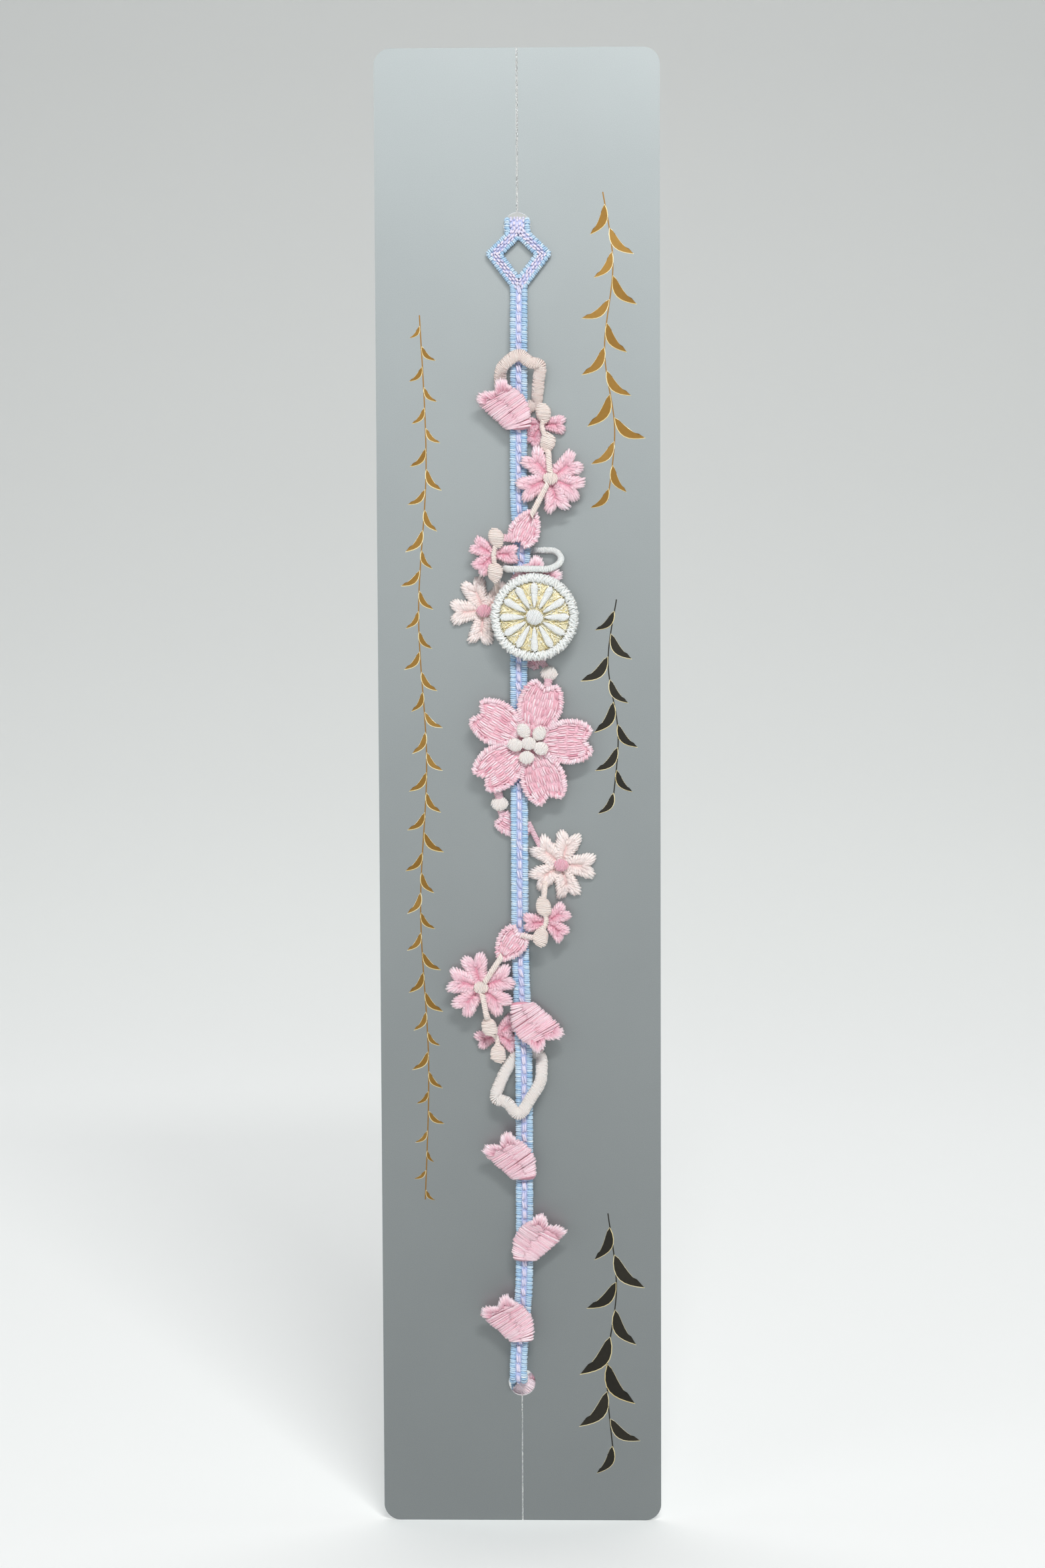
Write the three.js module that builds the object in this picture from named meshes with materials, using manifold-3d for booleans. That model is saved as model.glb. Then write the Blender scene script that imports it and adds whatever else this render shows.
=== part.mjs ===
// A lace bracelet charm threaded on its die-cut card: a stitched band with petals, a blossom garland
// woven over and under the band, and a round medallion that hangs on the band by a loop.
// Millimetres, +Z up. The pieces are laid out face-on, with x to the right, y up the card and z out of
// the card's front, and one turn of the whole group stands the card up with its front towards -Y.
import * as THREE from 'three';
import { mergeVertices } from 'three/addons/utils/BufferGeometryUtils.js';
import Module from 'manifold-3d';

const wasm = await Module();
wasm.setup();

// Card
const CARD_WIDTH = 40;
const CARD_HEIGHT = 210;
const CARD_THICK = 0.5;
const CARD_CORNER = 2.4;
const TOP_SLIT = 0.3;
const FOOT_SLIT = 0.2;
const TOP_HOLE_DROP = 24.7; // top edge to the upper hole's centre
const FOOT_HOLE_RISE = 20.3; // lower edge to the lower hole's centre
const HOLE_EASE = 0.7; // room in a hole at each side of the band
const CARD_SEGMENTS = 12;

// Lace
const BAND_WIDTH = 2.5;
const BAND_THICK = 1;
const LACE_THICK = 0.8;
const LAYER_GAP = 0.25; // between pieces that lie over each other
const JOIN_GAP = 0.12; // between pieces of one lace that meet end to end
const RIM = 0.18; // chamfer along the stitched edges
const STRIP_RIM = 0.55; // chamfer of a strip or cord, as a share of half its thickness
const HINGE_GAP = BAND_THICK / 2 + JOIN_GAP; // lets a folded end turn clear of the band

// End eyelets
const EYELET_HALF_WIDTH = 4.8;
const EYELET_SHOULDER = 1.5; // half width where the two arms meet
const EYELET_DROP = 3.2; // shoulder to the side corners
const EYELET_LENGTH = 7.8;
const EYELET_ARM = 2;
const NECK_LEG = 0.5; // straight end of the bend behind the card

// Lower end of the band
const TAIL_LENGTH = 9;
const TAIL_DROP = 6.7; // lower hole to the fold of the tail
const DIVE_RADIUS = 1; // bends of the band where it goes through the card
const BAND_STEP = 4;
const ARC_STEPS = 4;

// Petals stitched on the band
const PETAL_SPAN = 7;
const LOWER_PETALS = 4;
const LOWER_PETAL_DROP = 5; // lower hole to the foot of the petal behind the card
const LOWER_PETAL_CLEAR = 1.55; // highest of them to the garland's lower loop

// Garland
const GARLAND_DROP = 72.4; // upper hole to the middle of the large blossom
const HUB_SHARE = 0.36; // radius of a blossom's hub as a share of its petals' width
const HUB_SIDES = 12;
const BEAD_SIDES = 9;
const BEAD_RINGS = 6;
const LARGE_REACH = 8.6;
const LARGE_PETAL_WIDTH = 6.2;
const LARGE_NOTCH = 1.3;
const SMALL_REACH = 4.6;
const SMALL_PETAL_WIDTH = 3.3;
const SMALL_NOTCH = 1;
const FLORET_REACH = 3.1;
const FLORET_PETAL_WIDTH = 2.5;
const FLORET_NOTCH = 0.4;
const LEAF_REACH = 5.4;
const LEAF_WIDTH = 4.3;
const LEAF_NOTCH = 0.9;
const HIDDEN_BUD_LENGTH = 5.6;
const HIDDEN_BUD_WIDTH = 2.6;
const BUD_LENGTH = 2.3;
const BUD_WIDTH = 2.1;
const BEAD_WIDTH = 2.2;
const KNOT_WIDTH = 1.7;
const STEM_WIDTH = 0.8;
const STEM_RAMP = 1; // length in which a stem climbs onto a blossom
const LOWER_LOOP_END = -53; // large blossom to the lower loop's end
const LOOP_WIDTH = 1.6;

// Medallion
const MEDALLION_RADIUS = 6.1;
const MEDALLION_RIM = 1;
const MEDALLION_GROUND = 0.6;
const MOTIF_THICK = 0.5;
const MOTIF_RAYS = 12;
const MOTIF_RAY_WIDTH = 1;
const MOTIF_KNOB = 2;
const MOTIF_MARGIN = 0.25; // between the rays' tips and the rim
const CORD_WIDTH = 0.8;
const DISC_SIDES = 40;
const RIM_SIDES = 7;
const KNOB_SIDES = 12;
const KNOB_RINGS = 8;
const MEDALLION_X = 2.3;
const MEDALLION_RISE = 17.8; // large blossom to the medallion's middle

const PATTERN_RUN = 165; // run of the band between the holes that the lace's sizes are given for

// Worked out from the sizes above
const HALF_BAND = BAND_WIDTH / 2;
const HOLE_RADIUS = HALF_BAND + HOLE_EASE;
const TOP_HOLE_Y = CARD_HEIGHT - TOP_HOLE_DROP;
const FOOT_HOLE_Y = FOOT_HOLE_RISE;
const PATTERN = (TOP_HOLE_Y - FOOT_HOLE_Y) / PATTERN_RUN; // the lace is worked to the run that there is
const PETAL_SIZE = PATTERN * PETAL_SPAN;
const GARLAND_Y = TOP_HOLE_Y - PATTERN * GARLAND_DROP;
const HANG_X = PATTERN * MEDALLION_X;
const MEDALLION_Y = GARLAND_Y + PATTERN * MEDALLION_RISE;
const SIDE_GAP = LAYER_GAP;
// Half the height that a hole leaves at the band's sides
const HOLE_CHORD = Math.sqrt(HOLE_RADIUS ** 2 - (HALF_BAND + SIDE_GAP) ** 2);

// Heights off the card's front: behind the band, the band itself, in front of it and in front of that
const UNDER = LAYER_GAP;
const BAND_LIFT = UNDER + LACE_THICK + LAYER_GAP;
const OVER = BAND_LIFT + BAND_THICK + LAYER_GAP;
const TOP = OVER + LACE_THICK + LAYER_GAP;
const BAND_MID = BAND_LIFT + BAND_THICK / 2;
const END_MID = LAYER_GAP + BAND_THICK / 2;
const BACK_MID = -CARD_THICK - END_MID;
const TAIL_LIFT = -CARD_THICK - LAYER_GAP - LACE_THICK - LAYER_GAP - BAND_THICK;
const TAIL_MID = TAIL_LIFT + BAND_THICK / 2;
const HALF_LACE = LACE_THICK / 2;

const NECK_RADIUS = (END_MID - BACK_MID) / 2;
const NECK_Y = TOP_HOLE_Y + HOLE_CHORD - SIDE_GAP - BAND_THICK / 2 - NECK_RADIUS;
const EYELET_TOP = NECK_Y - JOIN_GAP;
const BAND_TOP = EYELET_TOP - EYELET_LENGTH - JOIN_GAP;
const BACK_EYELET_TOP = NECK_Y - NECK_LEG - HINGE_GAP;
const DIVE_Y = FOOT_HOLE_Y + HOLE_CHORD - SIDE_GAP - BAND_THICK / 2;
const TAIL_FOLD = FOOT_HOLE_Y - TAIL_DROP;
const LIFT_RAMP = 7; // length in which the band rises from the card under the garland's loop

// The band's gentle sway to the sides of the slit line: heights from the large blossom, and offsets
const BAND_SWAY = [
  [-68, 0.5],
  [-47, 0.5],
  [-26, 0],
  [11, 0],
  [27, 0.5],
  [35, 0.1],
  [64, 0.2],
];
const SWAY_RUN_OUT = 20; // length above the lower hole in which the sway ends

const MATERIALS = {
  card: { color: 0xa9afb1, roughness: 0.38, metalness: 0.6 },
  blue: { color: 0x9cc8ee, roughness: 0.6, metalness: 0 },
  pink: { color: 0xf3b4cb, roughness: 0.62, metalness: 0 },
  pale: { color: 0xf7dedc, roughness: 0.65, metalness: 0 },
  cream: { color: 0xf2e6dc, roughness: 0.65, metalness: 0 },
  white: { color: 0xf4f5f6, roughness: 0.6, metalness: 0 },
  gold: { color: 0xd9b765, roughness: 0.35, metalness: 0.8 },
};

const charm = new THREE.Group();
charm.rotation.x = Math.PI / 2;

// Helpers

function closed(geometry) {
  geometry.deleteAttribute('normal');
  geometry.deleteAttribute('uv');
  const merged = mergeVertices(geometry);
  merged.computeVertexNormals();
  return merged;
}

function solid(geometry) {
  const merged = closed(geometry);
  const mesh = new wasm.Mesh({
    numProp: 3,
    vertProperties: new Float32Array(merged.attributes.position.array),
    triVerts: new Uint32Array(merged.index.array),
  });
  return new wasm.Manifold(mesh);
}

function surface(manifold) {
  const mesh = manifold.getMesh();
  const geometry = new THREE.BufferGeometry();
  geometry.setAttribute('position', new THREE.BufferAttribute(mesh.vertProperties, 3));
  geometry.setIndex(new THREE.BufferAttribute(mesh.triVerts, 1));
  geometry.computeVertexNormals();
  return geometry;
}

function joined(geometries) {
  return surface(geometries.map(solid).reduce((whole, piece) => whole.add(piece)));
}

function place(name, geometry, finish, x = 0, y = 0, z = 0, parent = charm) {
  const mesh = new THREE.Mesh(geometry, new THREE.MeshStandardMaterial(MATERIALS[finish]));
  mesh.name = name;
  mesh.position.set(x, y, z);
  parent.add(mesh);
  return mesh;
}

// An outline given a thickness, with both its edges chamfered
function slab(shape, thick, rim = RIM) {
  const geometry = new THREE.ExtrudeGeometry(shape, {
    depth: thick - 2 * rim,
    bevelEnabled: rim > 0,
    bevelThickness: rim,
    bevelSize: rim,
    bevelOffset: -rim,
    bevelSegments: 1,
    curveSegments: 2,
  });
  geometry.translate(0, 0, rim);
  return closed(geometry);
}

function smoothOutline(points) {
  const [first, ...rest] = points.map(([x, y]) => new THREE.Vector2(x, y));
  return new THREE.Shape().moveTo(first.x, first.y).splineThru(rest);
}

function turned(geometry, degrees) {
  return geometry.rotateZ(THREE.MathUtils.degToRad(degrees));
}

function smoothstep(t) {
  const u = THREE.MathUtils.clamp(t, 0, 1);
  return u * u * (3 - 2 * u);
}

// The band's centre line: how far it sways to the side at a height
function bandX(y) {
  const run = smoothstep((y - DIVE_Y - DIVE_RADIUS) / SWAY_RUN_OUT);
  const rise = (y - GARLAND_Y) / PATTERN;
  const after = BAND_SWAY.findIndex(([height]) => height > rise);
  if (after === 0) return run * BAND_SWAY[0][1];
  if (after < 0) return run * BAND_SWAY.at(-1)[1];
  const [y0, x0] = BAND_SWAY[after - 1];
  const [y1, x1] = BAND_SWAY[after];
  return run * (x0 + (x1 - x0) * smoothstep((rise - y0) / (y1 - y0)));
}

// A strip with chamfered edges along a route. Its width lies along x where acrossX is set, as on the
// band, which bends through the card, and otherwise in the plane of the card.
function strip(route, width, thick, { acrossX = false, ring = false } = {}) {
  const w = width / 2;
  const t = thick / 2;
  const rim = Math.min(w, t) * STRIP_RIM;
  const section = [
    [w, rim - t],
    [w, t - rim],
    [w - rim, t],
    [rim - w, t],
    [-w, t - rim],
    [-w, rim - t],
    [rim - w, -t],
    [w - rim, -t],
  ];
  const count = route.length;
  const sides = section.length;
  const at = (i) => route[ring ? (i + count) % count : THREE.MathUtils.clamp(i, 0, count - 1)];
  const positions = [];
  for (let i = 0; i < count; i += 1) {
    const along = at(i + 1).clone().sub(at(i - 1)).normalize();
    const side = acrossX ? new THREE.Vector3(1, 0, 0) : new THREE.Vector3(0, 0, 1).cross(along);
    side.addScaledVector(along, -side.dot(along)).normalize();
    const face = along.clone().cross(side);
    for (const [u, v] of section) {
      const corner = at(i).clone().addScaledVector(side, u).addScaledVector(face, v);
      positions.push(corner.x, corner.y, corner.z);
    }
  }
  const faces = [];
  for (let i = 0; i < (ring ? count : count - 1); i += 1) {
    const here = i * sides;
    const next = ((i + 1) % count) * sides;
    for (let j = 0; j < sides; j += 1) {
      const k = (j + 1) % sides;
      faces.push(here + j, here + k, next + k, here + j, next + k, next + j);
    }
  }
  if (!ring) {
    const last = (count - 1) * sides;
    for (let j = 1; j < sides - 1; j += 1) {
      faces.push(0, j + 1, j, last, last + j, last + j + 1);
    }
  }
  const geometry = new THREE.BufferGeometry();
  geometry.setAttribute('position', new THREE.Float32BufferAttribute(positions, 3));
  geometry.setIndex(faces);
  geometry.computeVertexNormals();
  return geometry;
}

function quarterTurn(centreY, centreZ, radius, fromDegrees, toDegrees, x) {
  const points = [];
  for (let i = 0; i <= ARC_STEPS; i += 1) {
    const angle = THREE.MathUtils.degToRad(fromDegrees + ((toDegrees - fromDegrees) * i) / ARC_STEPS);
    points.push(new THREE.Vector3(x, centreY + radius * Math.sin(angle), centreZ + radius * Math.cos(angle)));
  }
  return points;
}

// Card: one outline, because each slit opens its hole to the edge

function cardShape() {
  const w = CARD_WIDTH / 2;
  const c = CARD_CORNER;
  const up = Math.PI / 2;
  const topSlit = Math.asin(TOP_SLIT / 2 / HOLE_RADIUS);
  const footSlit = Math.asin(FOOT_SLIT / 2 / HOLE_RADIUS);
  const shape = new THREE.Shape();
  shape.moveTo(FOOT_SLIT / 2, 0);
  shape.lineTo(w - c, 0);
  shape.absarc(w - c, c, c, -up, 0, false);
  shape.absarc(w - c, CARD_HEIGHT - c, c, 0, up, false);
  shape.lineTo(TOP_SLIT / 2, CARD_HEIGHT);
  shape.absarc(0, TOP_HOLE_Y, HOLE_RADIUS, up - topSlit, up + topSlit, true);
  shape.lineTo(-TOP_SLIT / 2, CARD_HEIGHT);
  shape.absarc(c - w, CARD_HEIGHT - c, c, up, 2 * up, false);
  shape.absarc(c - w, c, c, 2 * up, 3 * up, false);
  shape.lineTo(-FOOT_SLIT / 2, 0);
  shape.absarc(0, FOOT_HOLE_Y, HOLE_RADIUS, -up - footSlit, footSlit - up, true);
  return shape;
}

const card = new THREE.ExtrudeGeometry(cardShape(), {
  depth: CARD_THICK,
  bevelEnabled: false,
  curveSegments: CARD_SEGMENTS,
});
place('backing_card', closed(card), 'card', 0, 0, -CARD_THICK);

// Band: eyelet, bend through the upper hole, long front run, dive through the lower hole and tail

function eyeletGeometry() {
  const outer = [
    [-EYELET_SHOULDER, 0],
    [-EYELET_HALF_WIDTH, -EYELET_DROP],
    [-HALF_BAND, -EYELET_LENGTH],
    [HALF_BAND, -EYELET_LENGTH],
    [EYELET_HALF_WIDTH, -EYELET_DROP],
    [EYELET_SHOULDER, 0],
  ];
  const armX = EYELET_HALF_WIDTH - EYELET_SHOULDER;
  const upperArm = Math.hypot(armX, EYELET_DROP);
  const lowerX = EYELET_HALF_WIDTH - HALF_BAND;
  const lowerY = EYELET_LENGTH - EYELET_DROP;
  const lowerArm = Math.hypot(lowerX, lowerY);
  const upperRise = EYELET_DROP / armX;
  const lowerRise = lowerY / lowerX;
  // The opening's corners lie where lines one arm's width inside the outline meet
  const upperAxis = EYELET_SHOULDER * upperRise - (EYELET_ARM * upperArm) / armX;
  const lowerAxis = (EYELET_ARM * lowerArm) / lowerX - HALF_BAND * lowerRise - EYELET_LENGTH;
  const half = (upperAxis - lowerAxis) / (upperRise + lowerRise);
  const opening = [
    [0, upperAxis],
    [half, upperAxis - half * upperRise],
    [0, lowerAxis],
    [-half, upperAxis - half * upperRise],
  ];
  const shape = new THREE.Shape(outer.map(([x, y]) => new THREE.Vector2(x, y)));
  shape.holes.push(new THREE.Path(opening.map(([x, y]) => new THREE.Vector2(x, y))));
  return slab(shape, BAND_THICK);
}

function bandRoute() {
  const route = [];
  const lowest = DIVE_Y + DIVE_RADIUS;
  const steps = Math.round((BAND_TOP - lowest) / BAND_STEP);
  for (let i = 0; i < steps; i += 1) {
    const y = BAND_TOP + ((lowest - BAND_TOP) * i) / steps;
    const z = END_MID + (BAND_MID - END_MID) * smoothstep((BAND_TOP - y) / LIFT_RAMP);
    route.push(new THREE.Vector3(bandX(y), y, z));
  }
  route.push(...quarterTurn(lowest, BAND_MID - DIVE_RADIUS, DIVE_RADIUS, 0, -90, 0));
  route.push(...quarterTurn(DIVE_Y - DIVE_RADIUS, TAIL_MID + DIVE_RADIUS, DIVE_RADIUS, 90, 180, 0));
  route.push(new THREE.Vector3(0, TAIL_FOLD + HINGE_GAP, TAIL_MID));
  return route;
}

function neckRoute() {
  const route = quarterTurn(NECK_Y, (END_MID + BACK_MID) / 2, NECK_RADIUS, 0, 90, 0);
  route.push(...quarterTurn(NECK_Y, (END_MID + BACK_MID) / 2, NECK_RADIUS, 90, 180, 0).slice(1));
  route.push(new THREE.Vector3(0, NECK_Y - NECK_LEG, BACK_MID));
  return route;
}

function tailGeometry() {
  const round = new THREE.Shape();
  round.moveTo(-HALF_BAND, 0);
  round.lineTo(-HALF_BAND, HALF_BAND - TAIL_LENGTH);
  round.absarc(0, HALF_BAND - TAIL_LENGTH, HALF_BAND, Math.PI, 2 * Math.PI, false);
  round.lineTo(HALF_BAND, 0);
  return slab(round, BAND_THICK);
}

place('eyelet_front', eyeletGeometry(), 'blue', bandX(EYELET_TOP), EYELET_TOP, LAYER_GAP);
place('band_neck', strip(neckRoute(), BAND_WIDTH, BAND_THICK, { acrossX: true }), 'blue');
place('band_front', strip(bandRoute(), BAND_WIDTH, BAND_THICK, { acrossX: true }), 'blue');
place('eyelet_back', eyeletGeometry(), 'blue', 0, BACK_EYELET_TOP, BACK_MID - BAND_THICK / 2);
place('band_tail', tailGeometry(), 'blue', 0, TAIL_FOLD, TAIL_LIFT);

// Petals on the band: one outline that leans left and up, as shares of its span from the middle of its
// lower end. The others are mirrored (right), turned upside down (right and down) or both.

const BAND_PETAL = [
  [-0.2, 0],
  [-0.44, 0.2],
  [-0.71, 0.45],
  [-0.83, 0.6],
  [-0.73, 0.71],
  [-0.46, 0.75],
  [-0.44, 0.9],
  [-0.3, 0.99],
  [-0.17, 0.83],
  [0.02, 0.7],
  [0.17, 0.47],
  [0.21, 0.2],
  [0.2, 0],
];

function bandPetal(mirror, flip) {
  const outline = BAND_PETAL.map(([u, v]) => [mirror * u * PETAL_SIZE, flip * v * PETAL_SIZE]);
  return slab(smoothOutline(mirror * flip < 0 ? outline : outline.reverse()), LACE_THICK);
}

// Three petals beside the garland: height of the foot from the large blossom, mirror and flip
const BESIDE_GARLAND = [
  [44.1, 1, 1],
  [19.4, -1, 1],
  [-37, -1, -1],
];
BESIDE_GARLAND.forEach(([rise, mirror, flip], i) => {
  const y = GARLAND_Y + PATTERN * rise;
  place(`band_petal_${i + 1}`, bandPetal(mirror, flip), 'pink', bandX(y), y, OVER);
});

// Below the garland the petals follow each other from the lower hole up, on alternate sides
const firstFooting = FOOT_HOLE_Y - LOWER_PETAL_DROP;
const loopEnd = GARLAND_Y + PATTERN * (LOWER_LOOP_END - LOOP_WIDTH / 2);
const footingPitch = (loopEnd - LOWER_PETAL_CLEAR - PETAL_SIZE - firstFooting) / (LOWER_PETALS - 1);
for (let i = 1; i < LOWER_PETALS; i += 1) {
  const y = firstFooting + i * footingPitch;
  place(`lower_petal_${i + 1}`, bandPetal(i % 2 === 1 ? 1 : -1, 1), 'pink', bandX(y), y, OVER);
}

// The first of them lies behind the card, across the lower hole, and is cut back from the band's dive
const firstLift = -CARD_THICK - LAYER_GAP - LACE_THICK;
const firstPetal = bandPetal(-1, 1).translate(0, firstFooting, firstLift);
const diveRoom = new THREE.BoxGeometry(BAND_WIDTH + 2 * LAYER_GAP, PETAL_SIZE, 3 * LACE_THICK);
diveRoom.translate(0, DIVE_Y - BAND_THICK / 2 - LAYER_GAP + PETAL_SIZE / 2, firstLift);
place('lower_petal_1', surface(solid(firstPetal).subtract(solid(diveRoom))), 'pink');

// Garland: notched petals round a hub, cream buds and stems in front of them

const garland = new THREE.Group();
garland.position.y = GARLAND_Y;
garland.scale.set(PATTERN, PATTERN, 1);
charm.add(garland);

function notchedPetal(reach, width, notch) {
  const right = [
    [0.16, 0.04],
    [0.34, 0.4],
    [0.5, 0.76],
    [0.34, 1],
  ].map(([u, v]) => [u * width, v * reach]);
  const left = right.map(([x, y]) => [-x, y]).reverse();
  return smoothOutline([...right, [0, reach - notch], ...left]);
}

function blossom(angles, reach, width, notch, thick = LACE_THICK) {
  const hub = new THREE.CylinderGeometry(width * HUB_SHARE, width * HUB_SHARE, thick, HUB_SIDES);
  hub.rotateX(Math.PI / 2).translate(0, 0, thick / 2);
  const petals = angles.map((angle) => turned(slab(notchedPetal(reach, width, notch), thick), angle - 90));
  return joined([hub, ...petals]);
}

function bead(width, length = width, degrees = 0) {
  const ball = new THREE.SphereGeometry(1 / 2, BEAD_SIDES, BEAD_RINGS);
  ball.scale(width, length, LACE_THICK);
  return closed(turned(ball, degrees));
}

function addBlossom(name, x, y, lift, angles) {
  const [petals, middle] = name.startsWith('pale') ? ['pale', 'pink'] : ['pink', 'cream'];
  const z = lift + LACE_THICK + JOIN_GAP + HALF_LACE;
  place(name, blossom(angles, SMALL_REACH, SMALL_PETAL_WIDTH, SMALL_NOTCH), petals, x, y, lift, garland);
  place(`${name}_centre`, bead(KNOT_WIDTH), middle, x, y, z, garland);
  return { x, y, z, radius: KNOT_WIDTH / 2 };
}

function addBud(name, x, y, lift, degrees) {
  const z = lift + HALF_LACE;
  place(name, bead(BUD_WIDTH, BUD_LENGTH, degrees), 'cream', x, y, z, garland);
  return { x, y, z, radius: BUD_LENGTH / 2 };
}

function addFloret(name, x, y, lift, angles) {
  place(name, blossom(angles, FLORET_REACH, FLORET_PETAL_WIDTH, FLORET_NOTCH), 'pink', x, y, lift, garland);
}

// A stem between two round pieces, from edge to edge. It starts at a height of its own and runs on
// level with its end.
function addStem(name, from, to) {
  const start = new THREE.Vector3(from.x, from.y, from.z);
  const end = new THREE.Vector3(to.x, to.y, to.z);
  const along = new THREE.Vector3(to.x - from.x, to.y - from.y, 0).normalize();
  start.addScaledVector(along, from.radius + JOIN_GAP);
  end.addScaledVector(along, -to.radius - JOIN_GAP);
  const bend = start.clone().addScaledVector(along, STEM_RAMP).setZ(to.z);
  place(name, strip([start, bend, end], STEM_WIDTH, STEM_WIDTH), 'cream', 0, 0, 0, garland);
}

function loopAlong(points) {
  const curve = new THREE.CatmullRomCurve3(points.map(([x, y, z]) => new THREE.Vector3(x, y, z)), true);
  return curve.getPoints(points.length * 2).slice(0, -1);
}

const UNDER_MID = UNDER + HALF_LACE;
const OVER_MID = OVER + HALF_LACE;
const UNDER_BUD = UNDER + LACE_THICK + JOIN_GAP;
const OVER_BUD = OVER + LACE_THICK + JOIN_GAP;
const LOOP_X = HALF_BAND + SIDE_GAP + LOOP_WIDTH / 2; // a loop's centre line beside the band

// Each loop passes in front of the band at its outer end and behind it at its inner end. The points are
// the offset from the band's middle, the height from the large blossom and the height off the card.
const UPPER_LOOP = [
  [0, 54.4, OVER_MID],
  [1.55, 53.4, OVER_MID],
  [LOOP_X + 0.7, 52.9, OVER_MID - 0.2],
  [LOOP_X + 0.5, 51, BAND_MID + 0.2],
  [LOOP_X + 0.3, 49.1, BAND_MID - 0.6],
  [LOOP_X, 47.7, UNDER_MID],
  [0.6, 47, UNDER_MID],
  [-1, 47.7, UNDER_MID],
  [-LOOP_X, 49.4, UNDER_MID + 0.3],
  [-LOOP_X - 0.3, 51.2, BAND_MID],
  [0.2 - LOOP_X, 52.9, OVER_MID],
];
const LOWER_LOOP = [
  [-0.7, LOWER_LOOP_END, OVER_MID],
  [1, -50.6, OVER_MID],
  [LOOP_X, -48.4, OVER_MID - 0.2],
  [LOOP_X + 0.2, -46.6, BAND_MID],
  [LOOP_X, -45, UNDER_MID + 0.2],
  [0.5, -44, UNDER_MID],
  [-1.2, -45.2, UNDER_MID],
  [-LOOP_X - 0.1, -46.7, UNDER_MID + 0.3],
  [-LOOP_X - 1.2, -48.9, BAND_MID],
  [-LOOP_X - 1.7, -50.7, OVER_MID - 0.3],
  [-LOOP_X - 0.1, -51.3, OVER_MID],
];

function addLoop(name, points) {
  const middle = bandX(GARLAND_Y + PATTERN * points[0][1]) / PATTERN;
  const route = loopAlong(points.map(([x, y, z]) => [middle + x, y, z]));
  place(name, strip(route, LOOP_WIDTH, LACE_THICK, { ring: true }), 'cream', 0, 0, 0, garland);
}

function addLeaf(name, x, y, degrees) {
  const leaf = turned(slab(notchedPetal(LEAF_REACH, LEAF_WIDTH, LEAF_NOTCH), LACE_THICK), degrees - 90);
  place(name, leaf, 'pink', x, y, OVER, garland);
  return { x, y, z: OVER_BUD + HALF_LACE, radius: 0 };
}

function addHiddenBud(name, x, y, degrees) {
  const bud = slab(notchedPetal(HIDDEN_BUD_LENGTH, HIDDEN_BUD_WIDTH, FLORET_NOTCH), LACE_THICK);
  place(name, turned(bud, degrees - 90), 'pink', x, y, UNDER, garland);
}

// From the upper loop down to the large blossom
addLoop('upper_loop', UPPER_LOOP);
addBud('bud_1', 3.6, 46.3, UNDER_BUD, 5);
addFloret('floret_1', 3.3, 44.7, UNDER, [0, 180, 239]);
const budAboveBlossom = addBud('bud_2', 4.2, 42.1, OVER, -15);
const upperBlossom = addBlossom('blossom_1', 4.6, 37.2, OVER, [35, 131, 204, 283, 337]);
const upperLeaf = addLeaf('leaf_1', 2.3, 32.8, 245);
addStem('stem_1', budAboveBlossom, upperBlossom);
addStem('stem_2', upperLeaf, upperBlossom);
addBud('bud_3', -3, 28.9, OVER_BUD, 10);
addFloret('floret_2', -3.4, 26.6, OVER, [0, 152, 225]);
addBud('bud_4', -3.2, 24, OVER_BUD, -5);
addBlossom('pale_blossom_1', -4.9, 18.6, UNDER, [40, 113, 183, 262, 330]);
addHiddenBud('hidden_bud_1', -0.5, 14.7, -46);
place('bead_1', bead(BEAD_WIDTH), 'cream', 4.25, 9.7, UNDER_BUD + HALF_LACE, garland);

const LARGE_X = 1.5;
const largeBlossom = blossom([2, 74, 149, 218, 290], LARGE_REACH, LARGE_PETAL_WIDTH, LARGE_NOTCH);
place('large_blossom', largeBlossom, 'pink', LARGE_X, 0, OVER, garland);
const KNOTS = [
  [-0.8, 1.8],
  [1.4, 1.4],
  [-2, -0.2],
  [-0.1, 0],
  [1.6, -0.7],
  [-0.4, -2],
];
KNOTS.forEach(([x, y], i) => {
  place(`knot_${i + 1}`, bead(KNOT_WIDTH), 'cream', LARGE_X + x, y, OVER_BUD + HALF_LACE, garland);
});

// From the large blossom down to the lower loop
place('bead_2', bead(BEAD_WIDTH), 'cream', -2.8, -8.7, UNDER_BUD + HALF_LACE, garland);
addHiddenBud('hidden_bud_2', -2.6, -9.9, -42);
addBlossom('pale_blossom_2', 5.9, -17.5, UNDER, [-3, 74, 140, 213, 284]);
addBud('bud_5', 3.4, -23.1, OVER_BUD, 10);
addFloret('floret_3', 3.9, -25.4, OVER, [33, 183, 320]);
addBud('bud_6', 3, -27.4, OVER_BUD, -15);
const lowerLeaf = addLeaf('leaf_2', -3, -30.9, 54);
const lowerBlossom = addBlossom('blossom_2', -5.5, -34.7, OVER, [21, 105, 166, 228, 318]);
addStem('stem_3', lowerLeaf, lowerBlossom);
const budUnderBlossom = addBud('bud_7', -4.4, -40.4, OVER, 15);
addStem('stem_4', budUnderBlossom, lowerBlossom);
addFloret('floret_4', -3.2, -41.7, UNDER, [38, 203, 324]);
addBud('bud_8', -3.2, -44.4, UNDER_BUD, 0);
addLoop('lower_loop', LOWER_LOOP);

// Medallion: a loop of cord round the band and under its petal, with the stitched disc hanging below

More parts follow.
